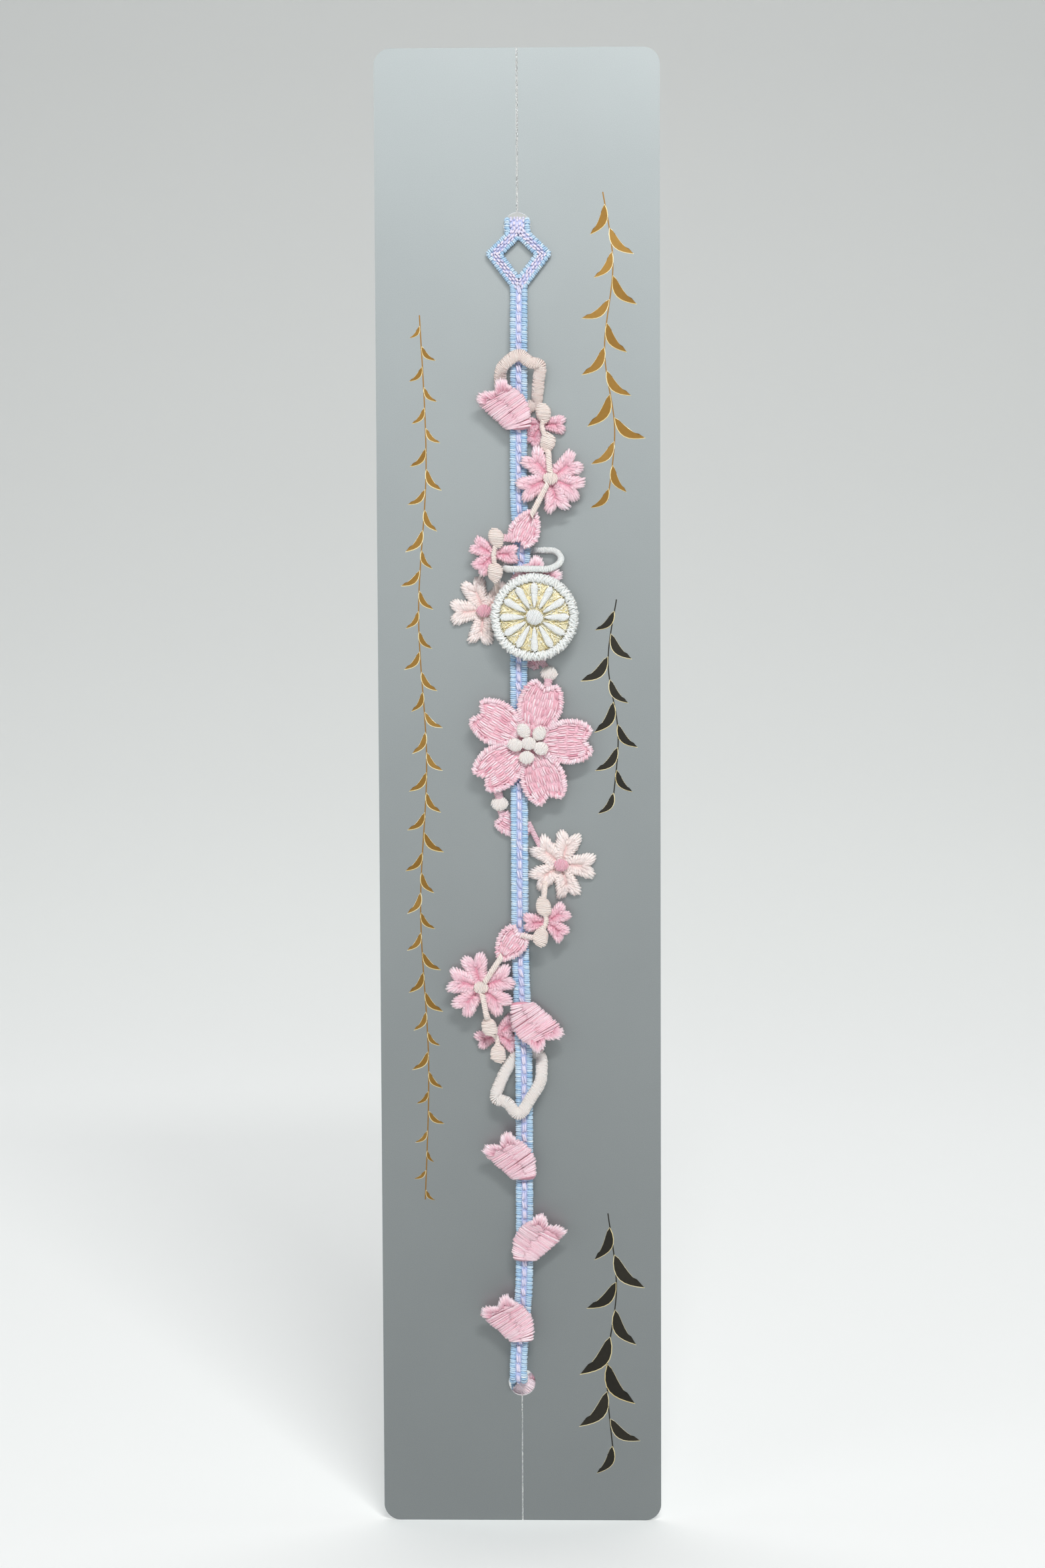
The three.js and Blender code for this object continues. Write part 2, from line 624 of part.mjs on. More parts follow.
const CORD_RADIUS = CORD_WIDTH / 2;
const CORD_X = HALF_BAND + SIDE_GAP + CORD_RADIUS;
const BAR_Y = MEDALLION_Y + PATTERN * MEDALLION_RADIUS + LAYER_GAP + CORD_RADIUS;
const BAR_Z = TOP + CORD_RADIUS;
const BACK_BAR_Z = UNDER + CORD_RADIUS;
const LOOP_MIDDLE = bandX(BAR_Y);
const LOOP_RIGHT = HANG_X + 3.7;
const MEDALLION_LOOP = [
  [HANG_X - 2, BAR_Y, BAR_Z],
  [HANG_X, BAR_Y, BAR_Z],
  [HANG_X + 2, BAR_Y, BAR_Z],
  [LOOP_RIGHT - 0.4, BAR_Y + 0.6, BAND_MID + 1.2],
  [LOOP_RIGHT, BAR_Y + 1.4, BAND_MID + 0.2],
  [LOOP_RIGHT - 0.7, BAR_Y + 2.3, BACK_BAR_Z + 0.3],
  [HANG_X + 1.7, BAR_Y + 2.5, BACK_BAR_Z],
  [LOOP_MIDDLE, BAR_Y + 2.4, BACK_BAR_Z],
  [LOOP_MIDDLE - HALF_BAND, BAR_Y + 1.6, BACK_BAR_Z],
  [LOOP_MIDDLE - CORD_X - 0.3, BAR_Y + 0.4, BAND_MID - 0.3],
  [LOOP_MIDDLE - CORD_X - 0.2, BAR_Y, OVER + 0.2],
  [LOOP_MIDDLE - HALF_BAND, BAR_Y - 0.05, BAR_Z - 0.2],
];
const cord = strip(loopAlong(MEDALLION_LOOP), CORD_WIDTH, CORD_WIDTH, { ring: true });
place('medallion_loop', cord, 'white');

const medallion = new THREE.Group();
medallion.position.set(HANG_X, MEDALLION_Y, TOP);
medallion.scale.set(PATTERN, PATTERN, 1);
charm.add(medallion);

const RIM_RADIUS = MEDALLION_RIM / 2;
const GROUND_RADIUS = MEDALLION_RADIUS - MEDALLION_RIM - JOIN_GAP;
const rim = new THREE.TorusGeometry(MEDALLION_RADIUS - RIM_RADIUS, RIM_RADIUS, RIM_SIDES, DISC_SIDES);
place('medallion_rim', closed(rim), 'white', 0, 0, RIM_RADIUS, medallion);
const ground = new THREE.CylinderGeometry(GROUND_RADIUS, GROUND_RADIUS, MEDALLION_GROUND, DISC_SIDES);
place('medallion_ground', closed(ground.rotateX(Math.PI / 2)), 'gold', 0, 0, MEDALLION_GROUND / 2, medallion);

// Plain tapered rays round a knob, stitched as one motif
function ray() {
  const w = MOTIF_RAY_WIDTH / 2;
  const tip = GROUND_RADIUS - MOTIF_MARGIN;
  return smoothOutline([
    [-w / 2, 0],
    [w / 2, 0],
    [w, tip - 2 * w],
    [0, tip],
    [-w, tip - 2 * w],
    [-w / 2, 0],
  ]);
}

const knob = new THREE.SphereGeometry(MOTIF_KNOB / 2, KNOB_SIDES, KNOB_RINGS);
knob.scale(1, 1, (2 * MOTIF_THICK) / MOTIF_KNOB).translate(0, 0, MOTIF_THICK);
const motifPieces = [knob];
for (let i = 0; i < MOTIF_RAYS; i += 1) {
  motifPieces.push(turned(slab(ray(), MOTIF_THICK, 0), (360 * i) / MOTIF_RAYS));
}
place('medallion_motif', joined(motifPieces), 'white', 0, 0, MEDALLION_GROUND + JOIN_GAP, medallion);

export default charm;
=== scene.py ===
"""The looks of a lace bracelet charm threaded on its silver card.

Every lace piece is worked out as threads: ellipses carried along paths and gathered in one mesh for
each solid of the part. Places are face-on millimetres, x to the right, y up the card and z out of its
front, as in the part's own layout, and placed() turns them into metres in the part's frame.
"""

import bpy
import numpy as np
from mathutils import Matrix


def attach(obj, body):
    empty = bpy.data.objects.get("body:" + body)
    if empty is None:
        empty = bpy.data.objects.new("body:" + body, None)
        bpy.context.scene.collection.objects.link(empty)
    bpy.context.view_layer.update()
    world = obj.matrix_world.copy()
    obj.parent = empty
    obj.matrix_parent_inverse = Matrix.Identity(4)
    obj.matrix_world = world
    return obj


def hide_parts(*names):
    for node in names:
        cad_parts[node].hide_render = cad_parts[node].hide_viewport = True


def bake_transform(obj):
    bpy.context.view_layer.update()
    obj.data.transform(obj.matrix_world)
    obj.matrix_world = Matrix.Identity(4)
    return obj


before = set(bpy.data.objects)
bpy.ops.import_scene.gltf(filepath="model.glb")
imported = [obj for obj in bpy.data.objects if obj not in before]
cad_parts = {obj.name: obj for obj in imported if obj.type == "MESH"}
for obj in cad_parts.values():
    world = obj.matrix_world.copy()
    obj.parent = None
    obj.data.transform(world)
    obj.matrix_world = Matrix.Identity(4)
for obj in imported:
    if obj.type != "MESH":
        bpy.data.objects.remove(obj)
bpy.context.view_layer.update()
scene = bpy.context.scene

MM = 0.001
GARLAND_Y = 112.9
MAP_STRIDE = 7.3  # running length on the map from one thread's start to the next one's

# Heights off the card's front: lace behind the band, the band, lace before it, and what lies on these
UNDER = 0.25
BAND_MID = 1.8
END_MID = 0.75
BACK_MID = -1.25
TAIL_MID = -2.3
OVER = 2.55
LACE_THICK = 0.8
UNDER_BUD_MID = 1.57
OVER_MID = 2.95
OVER_BUD_MID = 3.87

X_AXIS = np.array([1.0, 0.0, 0.0])
Z_AXIS = np.array([0.0, 0.0, 1.0])


def placed(points):
    """Face-on millimetres in metres: x stays, the height y becomes z and the depth z becomes -y."""
    return np.stack([points[..., 0], -points[..., 2], points[..., 1]], axis=-1) * MM


def add_object(name, data):
    """A new object in the scene."""
    made = bpy.data.objects.new(name, data)
    scene.collection.objects.link(made)
    return made


def unit(vectors):
    """Each vector divided by its own length."""
    return vectors / np.maximum(np.linalg.norm(vectors, axis=-1, keepdims=True), 1e-9)


def raised(flat, heights):
    """Flat points with their heights as a third coordinate."""
    return np.concatenate([flat, np.broadcast_to(heights, flat.shape[:-1])[..., None]], axis=-1)


def evenly_round(count):
    """Angles that share a whole turn evenly."""
    return np.linspace(0, 2 * np.pi, count, endpoint=False)


def pointing(angle):
    """Directions in the card's plane at angles from the right."""
    return np.stack([np.cos(angle), np.sin(angle), 0 * angle], axis=-1)


def turned(points, degrees):
    """Points turned about the origin in the card's plane, from pointing up to the given direction."""
    angle = np.radians(degrees - 90)
    turn = np.array([[np.cos(angle), np.sin(angle)], [-np.sin(angle), np.cos(angle)]])
    return points @ turn


def linear(red, green, blue):
    """A colour given as it shows on a screen, 0 to 255, as the linear values that shaders take."""
    share = np.array([red, green, blue]) / 255
    low = share / 12.92
    high = ((share + 0.055) / 1.055) ** 2.4
    return (*np.where(share <= 0.04045, low, high), 1.0)


def ease(share):
    """Smooth step: three times the square less twice the cube of the share, held between 0 and 1."""
    u = np.clip(share, 0, 1)
    return u * u * (3 - 2 * u)


def smooth(points, closed=False, steps=6):
    """A curve through points: between two of them the cubic whose end slopes are half the difference of
    the neighbours (Catmull-Rom), at even parameter steps."""
    p = np.asarray(points, float)
    if closed:
        before, after, later = np.roll(p, 1, 0), np.roll(p, -1, 0), np.roll(p, -2, 0)
        start = p
    else:
        start, after = p[:-1], p[1:]
        before = np.vstack([p[:1], p[:-2]])
        later = np.vstack([p[2:], p[-1:]])
    t = (np.arange(steps) / steps)[None, :, None]
    a, b, c, d = (q[:, None] for q in (before, start, after, later))
    curve = 0.5 * (
        2 * b
        + (c - a) * t
        + (2 * a - 5 * b + 4 * c - d) * t**2
        + (3 * b - a - 3 * c + d) * t**3
    )
    curve = curve.reshape(-1, p.shape[1])
    return curve if closed else np.vstack([curve, p[-1:]])


class Route:
    """A polyline read off by its running length, which is the sum of its steps."""

    def __init__(self, points, closed=False):
        self.points = np.asarray(points, float)
        self.closed = closed
        if closed:
            self.points = np.vstack([self.points, self.points[:1]])
        steps = np.linalg.norm(np.diff(self.points, axis=0), axis=1)
        self.run = np.concatenate([[0.0], np.cumsum(steps)])
        self.length = self.run[-1]

    def at(self, lengths):
        """Points at running lengths, by linear interpolation of each coordinate."""
        lengths = np.mod(lengths, self.length) if self.closed else np.clip(lengths, 0, self.length)
        return np.stack([np.interp(lengths, self.run, axis) for axis in self.points.T], axis=-1)

    def share(self, shares):
        """Points at shares of the whole length."""
        return self.at(np.asarray(shares) * self.length)

    def heading(self, lengths, reach):
        """Directions at running lengths: the step from a little before to a little after."""
        lengths = np.asarray(lengths)
        if not self.closed:
            lengths = np.clip(lengths, reach, self.length - reach)
        return unit(self.at(lengths + reach) - self.at(lengths - reach))

    def stations(self, pitch):
        """Running lengths about one pitch apart that fill the route evenly."""
        count = max(2, int(round(self.length / pitch)))
        return (np.arange(count) + 0.5) * self.length / count


# Powers that fill out the sections of wound forms and of pads, and the rows of a pad as shares of half a turn
WRAP_FULLNESS = 0.85
PAD_FULLNESS = 0.6
PAD_TURN = np.linspace(0.12, 0.88, 5)


class Lace:
    """The threads of one piece, gathered as rings of points and made one mesh."""

    def __init__(self, seed):
        self.rng = np.random.default_rng(seed)
        self.points, self.tones = [], []
        self.corners, self.sizes, self.maps, self.finishes = [], [], [], []
        self.count = 0

    def tone(self, many, middle, spread):
        """One shade for each of many threads: normal spread about the middle, held between 0 and 1."""
        return np.clip(self.rng.normal(middle, spread, many), 0, 1)

    def loft(self, rings, tone, finish=0, closed=False):
        """Skins rings (thread, step, corner, 3) with quads from each ring to the next.

        The rings turn anticlockwise seen against the way the thread runs, so faces point outwards. An
        open thread gets a flat face at each end. The map is the running length by the share of the turn.
        """
        many, steps, sides = rings.shape[:3]
        index = np.arange(many * steps * sides).reshape(many, steps, sides) + self.count
        middle = rings.mean(axis=2)
        if closed:
            near, far = index, np.roll(index, -1, 1)
            hops = np.linalg.norm(np.roll(middle, -1, 1) - middle, axis=-1)
        else:
            near, far = index[:, :-1], index[:, 1:]
            hops = np.linalg.norm(np.diff(middle, axis=1), axis=-1)
        quads = np.stack([near, np.roll(near, -1, 2), np.roll(far, -1, 2), far], axis=-1)
        run = np.concatenate([np.zeros((many, 1)), np.cumsum(hops, axis=1)], axis=1)
        run = run + np.arange(many)[:, None] * MAP_STRIDE
        turn = np.arange(sides + 1) / sides
        low = np.broadcast_to(run[:, :-1, None], near.shape)
        high = np.broadcast_to(run[:, 1:, None], near.shape)
        left = np.broadcast_to(turn[:-1], near.shape)
        right = np.broadcast_to(turn[1:], near.shape)
        corners_u = np.stack([low, low, high, high], axis=-1)
        corners_v = np.stack([left, right, right, left], axis=-1)
        self._faces(quads.reshape(-1, 4), np.stack([corners_u, corners_v], axis=-1), finish)
        if not closed:
            ends = np.concatenate([index[:, 0, ::-1], index[:, -1]])
            spots = np.concatenate([run[:, 0], run[:, -1]])
            flat = np.stack([np.repeat(spots[:, None], sides, 1), np.full((2 * many, sides), 0.5)], -1)
            self._faces(ends, flat, finish)
        shade = np.asarray(tone, float)
        shade = shade.reshape(shade.shape + (1,) * (3 - shade.ndim)) if shade.ndim else shade
        self.points.append(rings.reshape(-1, 3))
        self.tones.append(np.broadcast_to(shade, rings.shape[:3]).ravel())
        self.count += many * steps * sides

    def _faces(self, faces, maps, finish):
        """Keeps faces of one corner count with their map."""
        self.corners.append(faces.ravel())
        self.sizes.append(np.full(len(faces), faces.shape[1]))
        self.maps.append(maps.reshape(-1, 2))
        self.finishes.append(np.full(len(faces), finish))

    def threads(self, paths, across, width, rise, tone, finish=0, sides=5, ends=None, closed=False):
        """Carries an ellipse along each path (thread, step, 3).

        A corner is the path's point plus the half width times the cosine along the side, which is the
        given direction made square to the path, plus the half rise times the sine along the upright.
        """
        paths = np.asarray(paths, float)
        many, steps = paths.shape[:2]
        if closed:
            along = unit(np.roll(paths, -1, 1) - np.roll(paths, 1, 1))
        else:
            along = unit(np.gradient(paths, axis=1))
        across = np.broadcast_to(across, paths.shape)
        side = unit(across - along * np.sum(across * along, axis=-1, keepdims=True))
        upright = np.cross(along, side)
        shrink = np.ones(steps) if ends is None else np.asarray(ends)
        half_width, half_rise = (
            np.broadcast_to(size.reshape(-1, 1) if size.ndim < 2 else size, (many, steps)) * shrink
            for size in (np.asarray(width, float), np.asarray(rise, float))
        )
        angle = 2 * np.pi * np.arange(sides) / sides
        sideways = (half_width[..., None] * np.cos(angle))[..., None]
        upwards = (half_rise[..., None] * np.sin(angle))[..., None]
        rings = paths[:, :, None] + side[:, :, None] * sideways + upright[:, :, None] * upwards
        self.loft(rings, tone, finish, closed)

    def stitches(self, paths, width, rise, tone, finish=0, sides=5, ends=None):
        """Threads that lie flat: the side of each is square to the line from its first point to its last."""
        across = np.cross(Z_AXIS, paths[:, -1] - paths[:, 0])[:, None]
        self.threads(paths, across, width, rise, np.clip(tone, 0, 1), finish, sides, ends)

    def wraps(self, middles, along, side, width, rise, thread, height, slant, tone, steps):
        """Threads wound round a form, one closed turn at each of its stations.

        A turn is the station's middle plus the half width times the cosine along the side plus the half
        rise times the sine along the upright, each to the power that makes the section fuller than an
        ellipse, and it leans along the form by the slant times the cosine.
        """
        angle = 2 * np.pi * (np.arange(steps) + 0.5) / steps
        cosine, sine = np.cos(angle), np.sin(angle)
        out = np.sign(cosine) * np.abs(cosine) ** WRAP_FULLNESS
        up = np.sign(sine) * np.abs(sine) ** WRAP_FULLNESS
        upright = np.cross(along, side)
        width, rise = (np.broadcast_to(np.asarray(v, float), len(middles)) for v in (width, rise))
        turns = (
            middles[:, None]
            + side[:, None] * (width[:, None] * out)[..., None]
            + upright[:, None] * (rise[:, None] * up)[..., None]
            + along[:, None] * (np.broadcast_to(slant, len(middles))[:, None] * cosine)[..., None]
        )
        self.threads(turns, along[:, None], thread, height, tone, sides=4, closed=True)

    def pad(self, outline, bottom, top, tone, lift=None):
        """A lens-shaped filling under the threads: copies of the outline drawn in towards its middle by
        the sine of the row's angle, at heights that follow the cosine, from its lower to its upper side."""
        outline = np.asarray(outline, float)
        nxt = np.roll(outline, -1, 0)
        if np.sum(outline[:, 0] * nxt[:, 1] - nxt[:, 0] * outline[:, 1]) < 0:
            outline = outline[::-1]
        centre = outline.mean(axis=0)
        angle = PAD_TURN * np.pi
        flat = centre + np.sin(angle)[:, None, None] ** PAD_FULLNESS * (outline - centre)
        lifted = 0 if lift is None else lift(flat)
        height = (bottom + top) / 2 - np.cos(angle)[:, None] * (top - bottom) / 2 + lifted
        self.loft(raised(flat, height)[None], tone)

    def piece(self, name, finishes, body, nodes=None, rounded=True, fold=None):
        """Makes the mesh and hangs it on its body, or, given a fold, only bakes its placing into its points and
        hangs it on nothing, and lets it stand for its solids."""
        points = placed(np.concatenate(self.points))
        corners = np.concatenate(self.corners)
        sizes = np.concatenate(self.sizes)
        mesh = bpy.data.meshes.new(name)
        mesh.vertices.add(len(points))
        mesh.vertices.foreach_set("co", points.ravel())
        mesh.loops.add(len(corners))
        mesh.loops.foreach_set("vertex_index", corners)
        mesh.polygons.add(len(sizes))
        mesh.polygons.foreach_set("loop_start", np.cumsum(sizes) - sizes)
        mesh.polygons.foreach_set("material_index", np.concatenate(self.finishes))
        mesh.polygons.foreach_set("use_smooth", np.full(len(sizes), rounded))
        thread_map = mesh.uv_layers.new(name="thread")
        thread_map.data.foreach_set("uv", np.concatenate(self.maps).ravel())
        tone = mesh.attributes.new("tone", "FLOAT", "POINT")
        tone.data.foreach_set("value", np.concatenate(self.tones))
        mesh.update(calc_edges=True)
        for finish in finishes:
            mesh.materials.append(finish)
        dressed = add_object(name, mesh)
        if fold is None:
            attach(dressed, body)
        else:
            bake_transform(dressed)
        if nodes is None or nodes:
            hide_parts(*(nodes or [name.removesuffix("_lace")]))


# Finishes: helpers for nodes, then one function for each kind of surface


def nodes_of(name):
    """A new node material, its node tree and its shader."""
    material = bpy.data.materials.new(name)
    material.use_nodes = True
    tree = material.node_tree
    return material, tree, tree.nodes["Principled BSDF"]


def add_node(tree, kind, **values):
    """One node with its settings and its input values."""
    made = tree.nodes.new(kind)
    for key, value in values.items():
        if hasattr(made, key):
            setattr(made, key, value)
        else:
            made.inputs[key.replace("_", " ")].default_value = value
    return made


def add_math(tree, operation, *values):
    """The result of one math node. A value is a socket to link or a number to set."""
    made = add_node(tree, "ShaderNodeMath", operation=operation)
    for socket, value in zip(made.inputs, values):
        if isinstance(value, bpy.types.NodeSocket):
            tree.links.new(value, socket)
        else:
            socket.default_value = value
    return made.outputs["Value"]


def add_range(tree, value, low, high, to_low, to_high):
    """A value carried from one range to another along a straight line, and held at the ends."""
    made = add_node(tree, "ShaderNodeMapRange", From_Min=low, From_Max=high, To_Min=to_low, To_Max=to_high)
    tree.links.new(value, made.inputs["Value"])
    return made.outputs["Result"]


def add_noise(tree, place, scale, detail):
    """Noise on the piece's own coordinates."""
    made = add_node(tree, "ShaderNodeTexNoise", Scale=scale, Detail=detail)
    tree.links.new(place.outputs["Object"], made.inputs["Vector"])
    return made.outputs["Fac"]


def add_parts(tree, vector):
    """The three parts of a vector, by the names of their axes."""
    made = tree.nodes.new("ShaderNodeSeparateXYZ")
    tree.links.new(vector, made.inputs["Vector"])
    return made.outputs


def add_ramp(tree, value, stops):
    """A value as a colour, by the given places and colours."""
    ramp = tree.nodes.new("ShaderNodeValToRGB")
    band = ramp.color_ramp
    band.elements[0].position, band.elements[0].color = stops[0]
    band.elements[1].position, band.elements[1].color = stops[-1]
    for place, colour in stops[1:-1]:
        band.elements.new(place).color = colour
    tree.links.new(value, ramp.inputs["Fac"])
    return ramp.outputs["Color"]


def add_bump(tree, shader, height, strength, depth):
    """Bumps of a depth in metres on a shader, from a height between 0 and 1."""
    made = add_node(tree, "ShaderNodeBump", Strength=strength, Distance=depth)
    tree.links.new(height, made.inputs["Height"])
    tree.links.new(made.outputs["Normal"], shader.inputs["Normal"])


SPECKLE = (1400.0, 3.0)  # scale and detail of a noise, here and below
SPECKLE_SPREAD = 0.3
STRAND_SCALE = (1.1, 3.1416, 0.0)
STRAND_DEPTH = 0.00004
GLOW_RADIUS = (1.0, 0.8, 0.7)


def thread_finish(name, deep, middle, pale, roughness=0.5, metallic=0.0, sheen=0.35, fibre=0.35):
    """Embroidery thread: the shade goes from deep to pale with the thread's own tone and a little noise,
    and fine strands twist round it, as bands on the running length and the turn."""
    material, tree, shader = nodes_of(name)
    link = tree.links.new
    tone = add_node(tree, "ShaderNodeAttribute", attribute_name="tone")
    place = tree.nodes.new("ShaderNodeTexCoord")
    speckle = add_noise(tree, place, *SPECKLE)
    nudge = add_math(tree, "MULTIPLY_ADD", speckle, SPECKLE_SPREAD, -SPECKLE_SPREAD / 2)
    total = add_math(tree, "ADD", tone.outputs["Fac"], nudge)
    shades = add_ramp(tree, total, [(0.0, linear(*deep)), (0.5, linear(*middle)), (1.0, linear(*pale))])
    link(shades, shader.inputs["Base Color"])
    stretch = add_node(tree, "ShaderNodeMapping", Scale=STRAND_SCALE)
    link(place.outputs["UV"], stretch.inputs["Vector"])
    strands = add_node(
        tree, "ShaderNodeTexWave", wave_type="BANDS", bands_direction="DIAGONAL", Scale=1.0, Distortion=1.2
    )
    link(stretch.outputs["Vector"], strands.inputs["Vector"])
    add_bump(tree, shader, strands.outputs["Fac"], fibre, STRAND_DEPTH)
    settings = {
        "Roughness": roughness,
        "Metallic": metallic,
        "Sheen Weight": sheen,
        "Sheen Roughness": 0.4,
        "Specular IOR Level": 0.35,
        "Subsurface Weight": 0.3 * (1 - metallic),
        "Subsurface Radius": GLOW_RADIUS,
        "Subsurface Scale": 0.0003,
    }
    for socket, value in settings.items():
        shader.inputs[socket].default_value = value
    return material


BLUE = thread_finish("blue_thread", (136, 180, 219), (184, 213, 237), (232, 243, 250))
LILAC = thread_finish("lilac_thread", (160, 182, 229), (202, 205, 238), (240, 228, 245))
PINK = thread_finish("pink_thread", (217, 140, 161), (243, 193, 205), (254, 230, 236))
ROSE = thread_finish("rose_thread", (220, 126, 148), (240, 170, 186), (251, 208, 216))
PALE = thread_finish("pale_thread", (228, 188, 186), (246, 224, 219), (254, 243, 239))
CREAM = thread_finish("cream_thread", (225, 192, 181), (250, 229, 219), (255, 245, 237))
PEACH = thread_finish("peach_thread", (224, 185, 172), (246, 216, 205), (253, 238, 230))
SHELL = thread_finish("shell_thread", (235, 209, 200), (253, 237, 228), (255, 248, 243))
WHITE = thread_finish("white_thread", (206, 208, 204), (240, 241, 237), (251, 251, 249))
GOLD = thread_finish(
    "gold_thread", (212, 178, 106), (246, 230, 178), (255, 252, 232), roughness=0.32, metallic=0.2, sheen=0.0
)


GRAIN, GRAIN_SHARE = (9000.0, 2.0), 0.65
CLOUD, CLOUD_SHARE = (38.0, 4.0), 0.35
GRAIN_BUMP = (0.04, 0.00002)  # strength and depth
CARD_METAL = 0.72
CUT_LEAN = 0.7  # a face of the card is cut where the part of its normal that is square to the sheet is less
SILVER = [(0.3, linear(149, 154, 154)), (0.7, linear(159, 164, 164))]
SATIN = [(0.0, (0.28, 0.28, 0.28, 1)), (1.0, (0.4, 0.4, 0.4, 1))]
BARE_PAPER = linear(244, 244, 240)
COLOUR_A, COLOUR_B, COLOUR_OUT = 6, 7, 2  # a mix node's sockets for colours


def card_finish():
    """Satin silver board: a fine metallic grain on both faces, and bare white paper where the sheet was
    cut, told apart by how far the face's normal leans from the sheet's own."""
    material, tree, shader = nodes_of("silver_board")
    link = tree.links.new
    place = tree.nodes.new("ShaderNodeTexCoord")
    grain, cloud = add_noise(tree, place, *GRAIN), add_noise(tree, place, *CLOUD)
    mixed = add_math(tree, "MULTIPLY_ADD", cloud, CLOUD_SHARE, add_math(tree, "MULTIPLY", grain, GRAIN_SHARE))
    facing = add_math(tree, "ABSOLUTE", add_parts(tree, place.outputs["Normal"])["Y"])
    cut = add_math(tree, "LESS_THAN", facing, CUT_LEAN)
    paper = add_node(tree, "ShaderNodeMix", data_type="RGBA")
    link(cut, paper.inputs["Factor"])
    link(add_ramp(tree, mixed, SILVER), paper.inputs[COLOUR_A])
    paper.inputs[COLOUR_B].default_value = BARE_PAPER
    link(paper.outputs[COLOUR_OUT], shader.inputs["Base Color"])
    link(add_math(tree, "MULTIPLY_ADD", cut, -CARD_METAL, CARD_METAL), shader.inputs["Metallic"])
    link(add_ramp(tree, grain, SATIN), shader.inputs["Roughness"])
    add_bump(tree, shader, grain, *GRAIN_BUMP)
    return material


UNEVEN, UNEVEN_SHARE = (6.0, 2.0), 0.02
# Painted shade on the floor in front of the card
FRONT_PAINTED_SHADE = (-0.06, -0.4, 0.0, 0.28)  # from one y to another, from no grey to this much
# Painted shade by height: white on the floor, greyer up the wall where less overhead light falls
SWEEP_PAINTED_SHADE = [
    (0.0, linear(237, 238, 237)),
    (0.03, linear(233, 235, 233)),
    (0.07, linear(227, 229, 227)),
    (0.11, linear(223, 225, 223)),
    (0.16, linear(220, 222, 220)),
    (0.3, linear(219, 221, 219)),
]


def painted_shade_sweep_finish():
    """Matt paper, white on the floor behind, with painted shade: pale grey painted up the wall by height where
    less of the overhead light falls, and a little greyer painted towards the front, with a faint unevenness."""
    material, tree, shader = nodes_of("sweep_paper_painted_shade")
    link = tree.links.new
    place = tree.nodes.new("ShaderNodeTexCoord")
    part = add_parts(tree, place.outputs["Object"])
    uneven = add_noise(tree, place, *UNEVEN)
    height = add_math(tree, "MULTIPLY_ADD", uneven, UNEVEN_SHARE, part["Z"])
    front = add_range(tree, part["Y"], *FRONT_PAINTED_SHADE)
    shades = add_ramp(tree, add_math(tree, "ADD", height, front), SWEEP_PAINTED_SHADE)
    link(shades, shader.inputs["Base Color"])
    shader.inputs["Roughness"].default_value = 0.85
    return material


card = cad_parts["backing_card"]
card.data.materials.clear()
card.data.materials.append(card_finish())


# Gold foil on the card, and the soft edges of its two cuts: roughness, metal, sheen and fibre come last

# Painted light on one gold foil: the edge foil is a painted highlight and the deeper foil a painted dark
# reflection. The dark foil is dark print.
FOIL_EDGE_HIGHLIGHT = thread_finish("foil_edge_painted_highlight", (222, 190, 112), (250, 232, 176), (255, 250, 226), 0.3, 0.4, 0.0, 0.0)
FOIL = thread_finish("foil_field_painted_dark_reflection", (126, 90, 34), (152, 113, 50), (182, 143, 76), 0.36, 0.5, 0.0, 0.0)
DARK_FOIL = thread_finish("dark_foil", (26, 24, 20), (40, 37, 30), (62, 56, 44), 0.4, 0.3, 0.0, 0.0)
# The grey end of this paper fibre is painted shade inside the cuts
PAPER = thread_finish("paper_fibre_painted_shade", (178, 182, 182), (214, 217, 216), (242, 243, 241), 0.8, 0.0, 0.0, 0.1)
# Sprigs of foil: route of the stem, pitch of the leaves, their length and width, and the fill
SPRIGS = [
    ([(12.0, 190), (13.4, 180), (12.2, 168), (13.6, 157), (12.6, 147)], 3.3, 5.4, 1.35, 1),
    ([(13.8, 133), (12.6, 124), (14.0, 114), (13.2, 104)], 3.3, 4.9, 1.3, 2),
    (
        [(-13.8, 173), (-13.0, 152), (-14.2, 131), (-13.2, 110), (-14.2, 89), (-13.2, 67), (-13.8, 47)],
        2.9, 3.5, 0.85, 1,
    ),
    ([(12.4, 45), (13.6, 34), (12.2, 22), (13.2, 9)], 3.9, 6.2, 1.7, 2),
]
LEAF_SIZES = ([0, 0.15, 0.75, 1], [0.7, 1, 1, 0.6])  # shares of the stem, and the leaves' sizes there
LEAF_BOW = 0.16
EDGE_RINGS = [(0.0, 0.004), (0.0, 0.024), (0.1, 0.03), (0.15, 0.028)]  # insets and heights


def foil_leaf(length, width):
    """Outlines of slender leaves that point up from the origin: the half width is a power of the sine of the
    share of the length, and the middle line bows to the right by a share of the length times that sine."""
    t = np.linspace(0, 1, 9)
    half = 0.5 * np.asarray(width)[:, None] * np.sin(np.pi * t**0.8) ** 0.9
    middle = LEAF_BOW * np.asarray(length)[:, None] * np.sin(np.pi * t)
    up = np.asarray(length)[:, None] * t
    right, left = np.stack([middle + half, up], -1), np.stack([middle - half, up], -1)[:, -2:0:-1]
    return np.concatenate([right, left], axis=1)


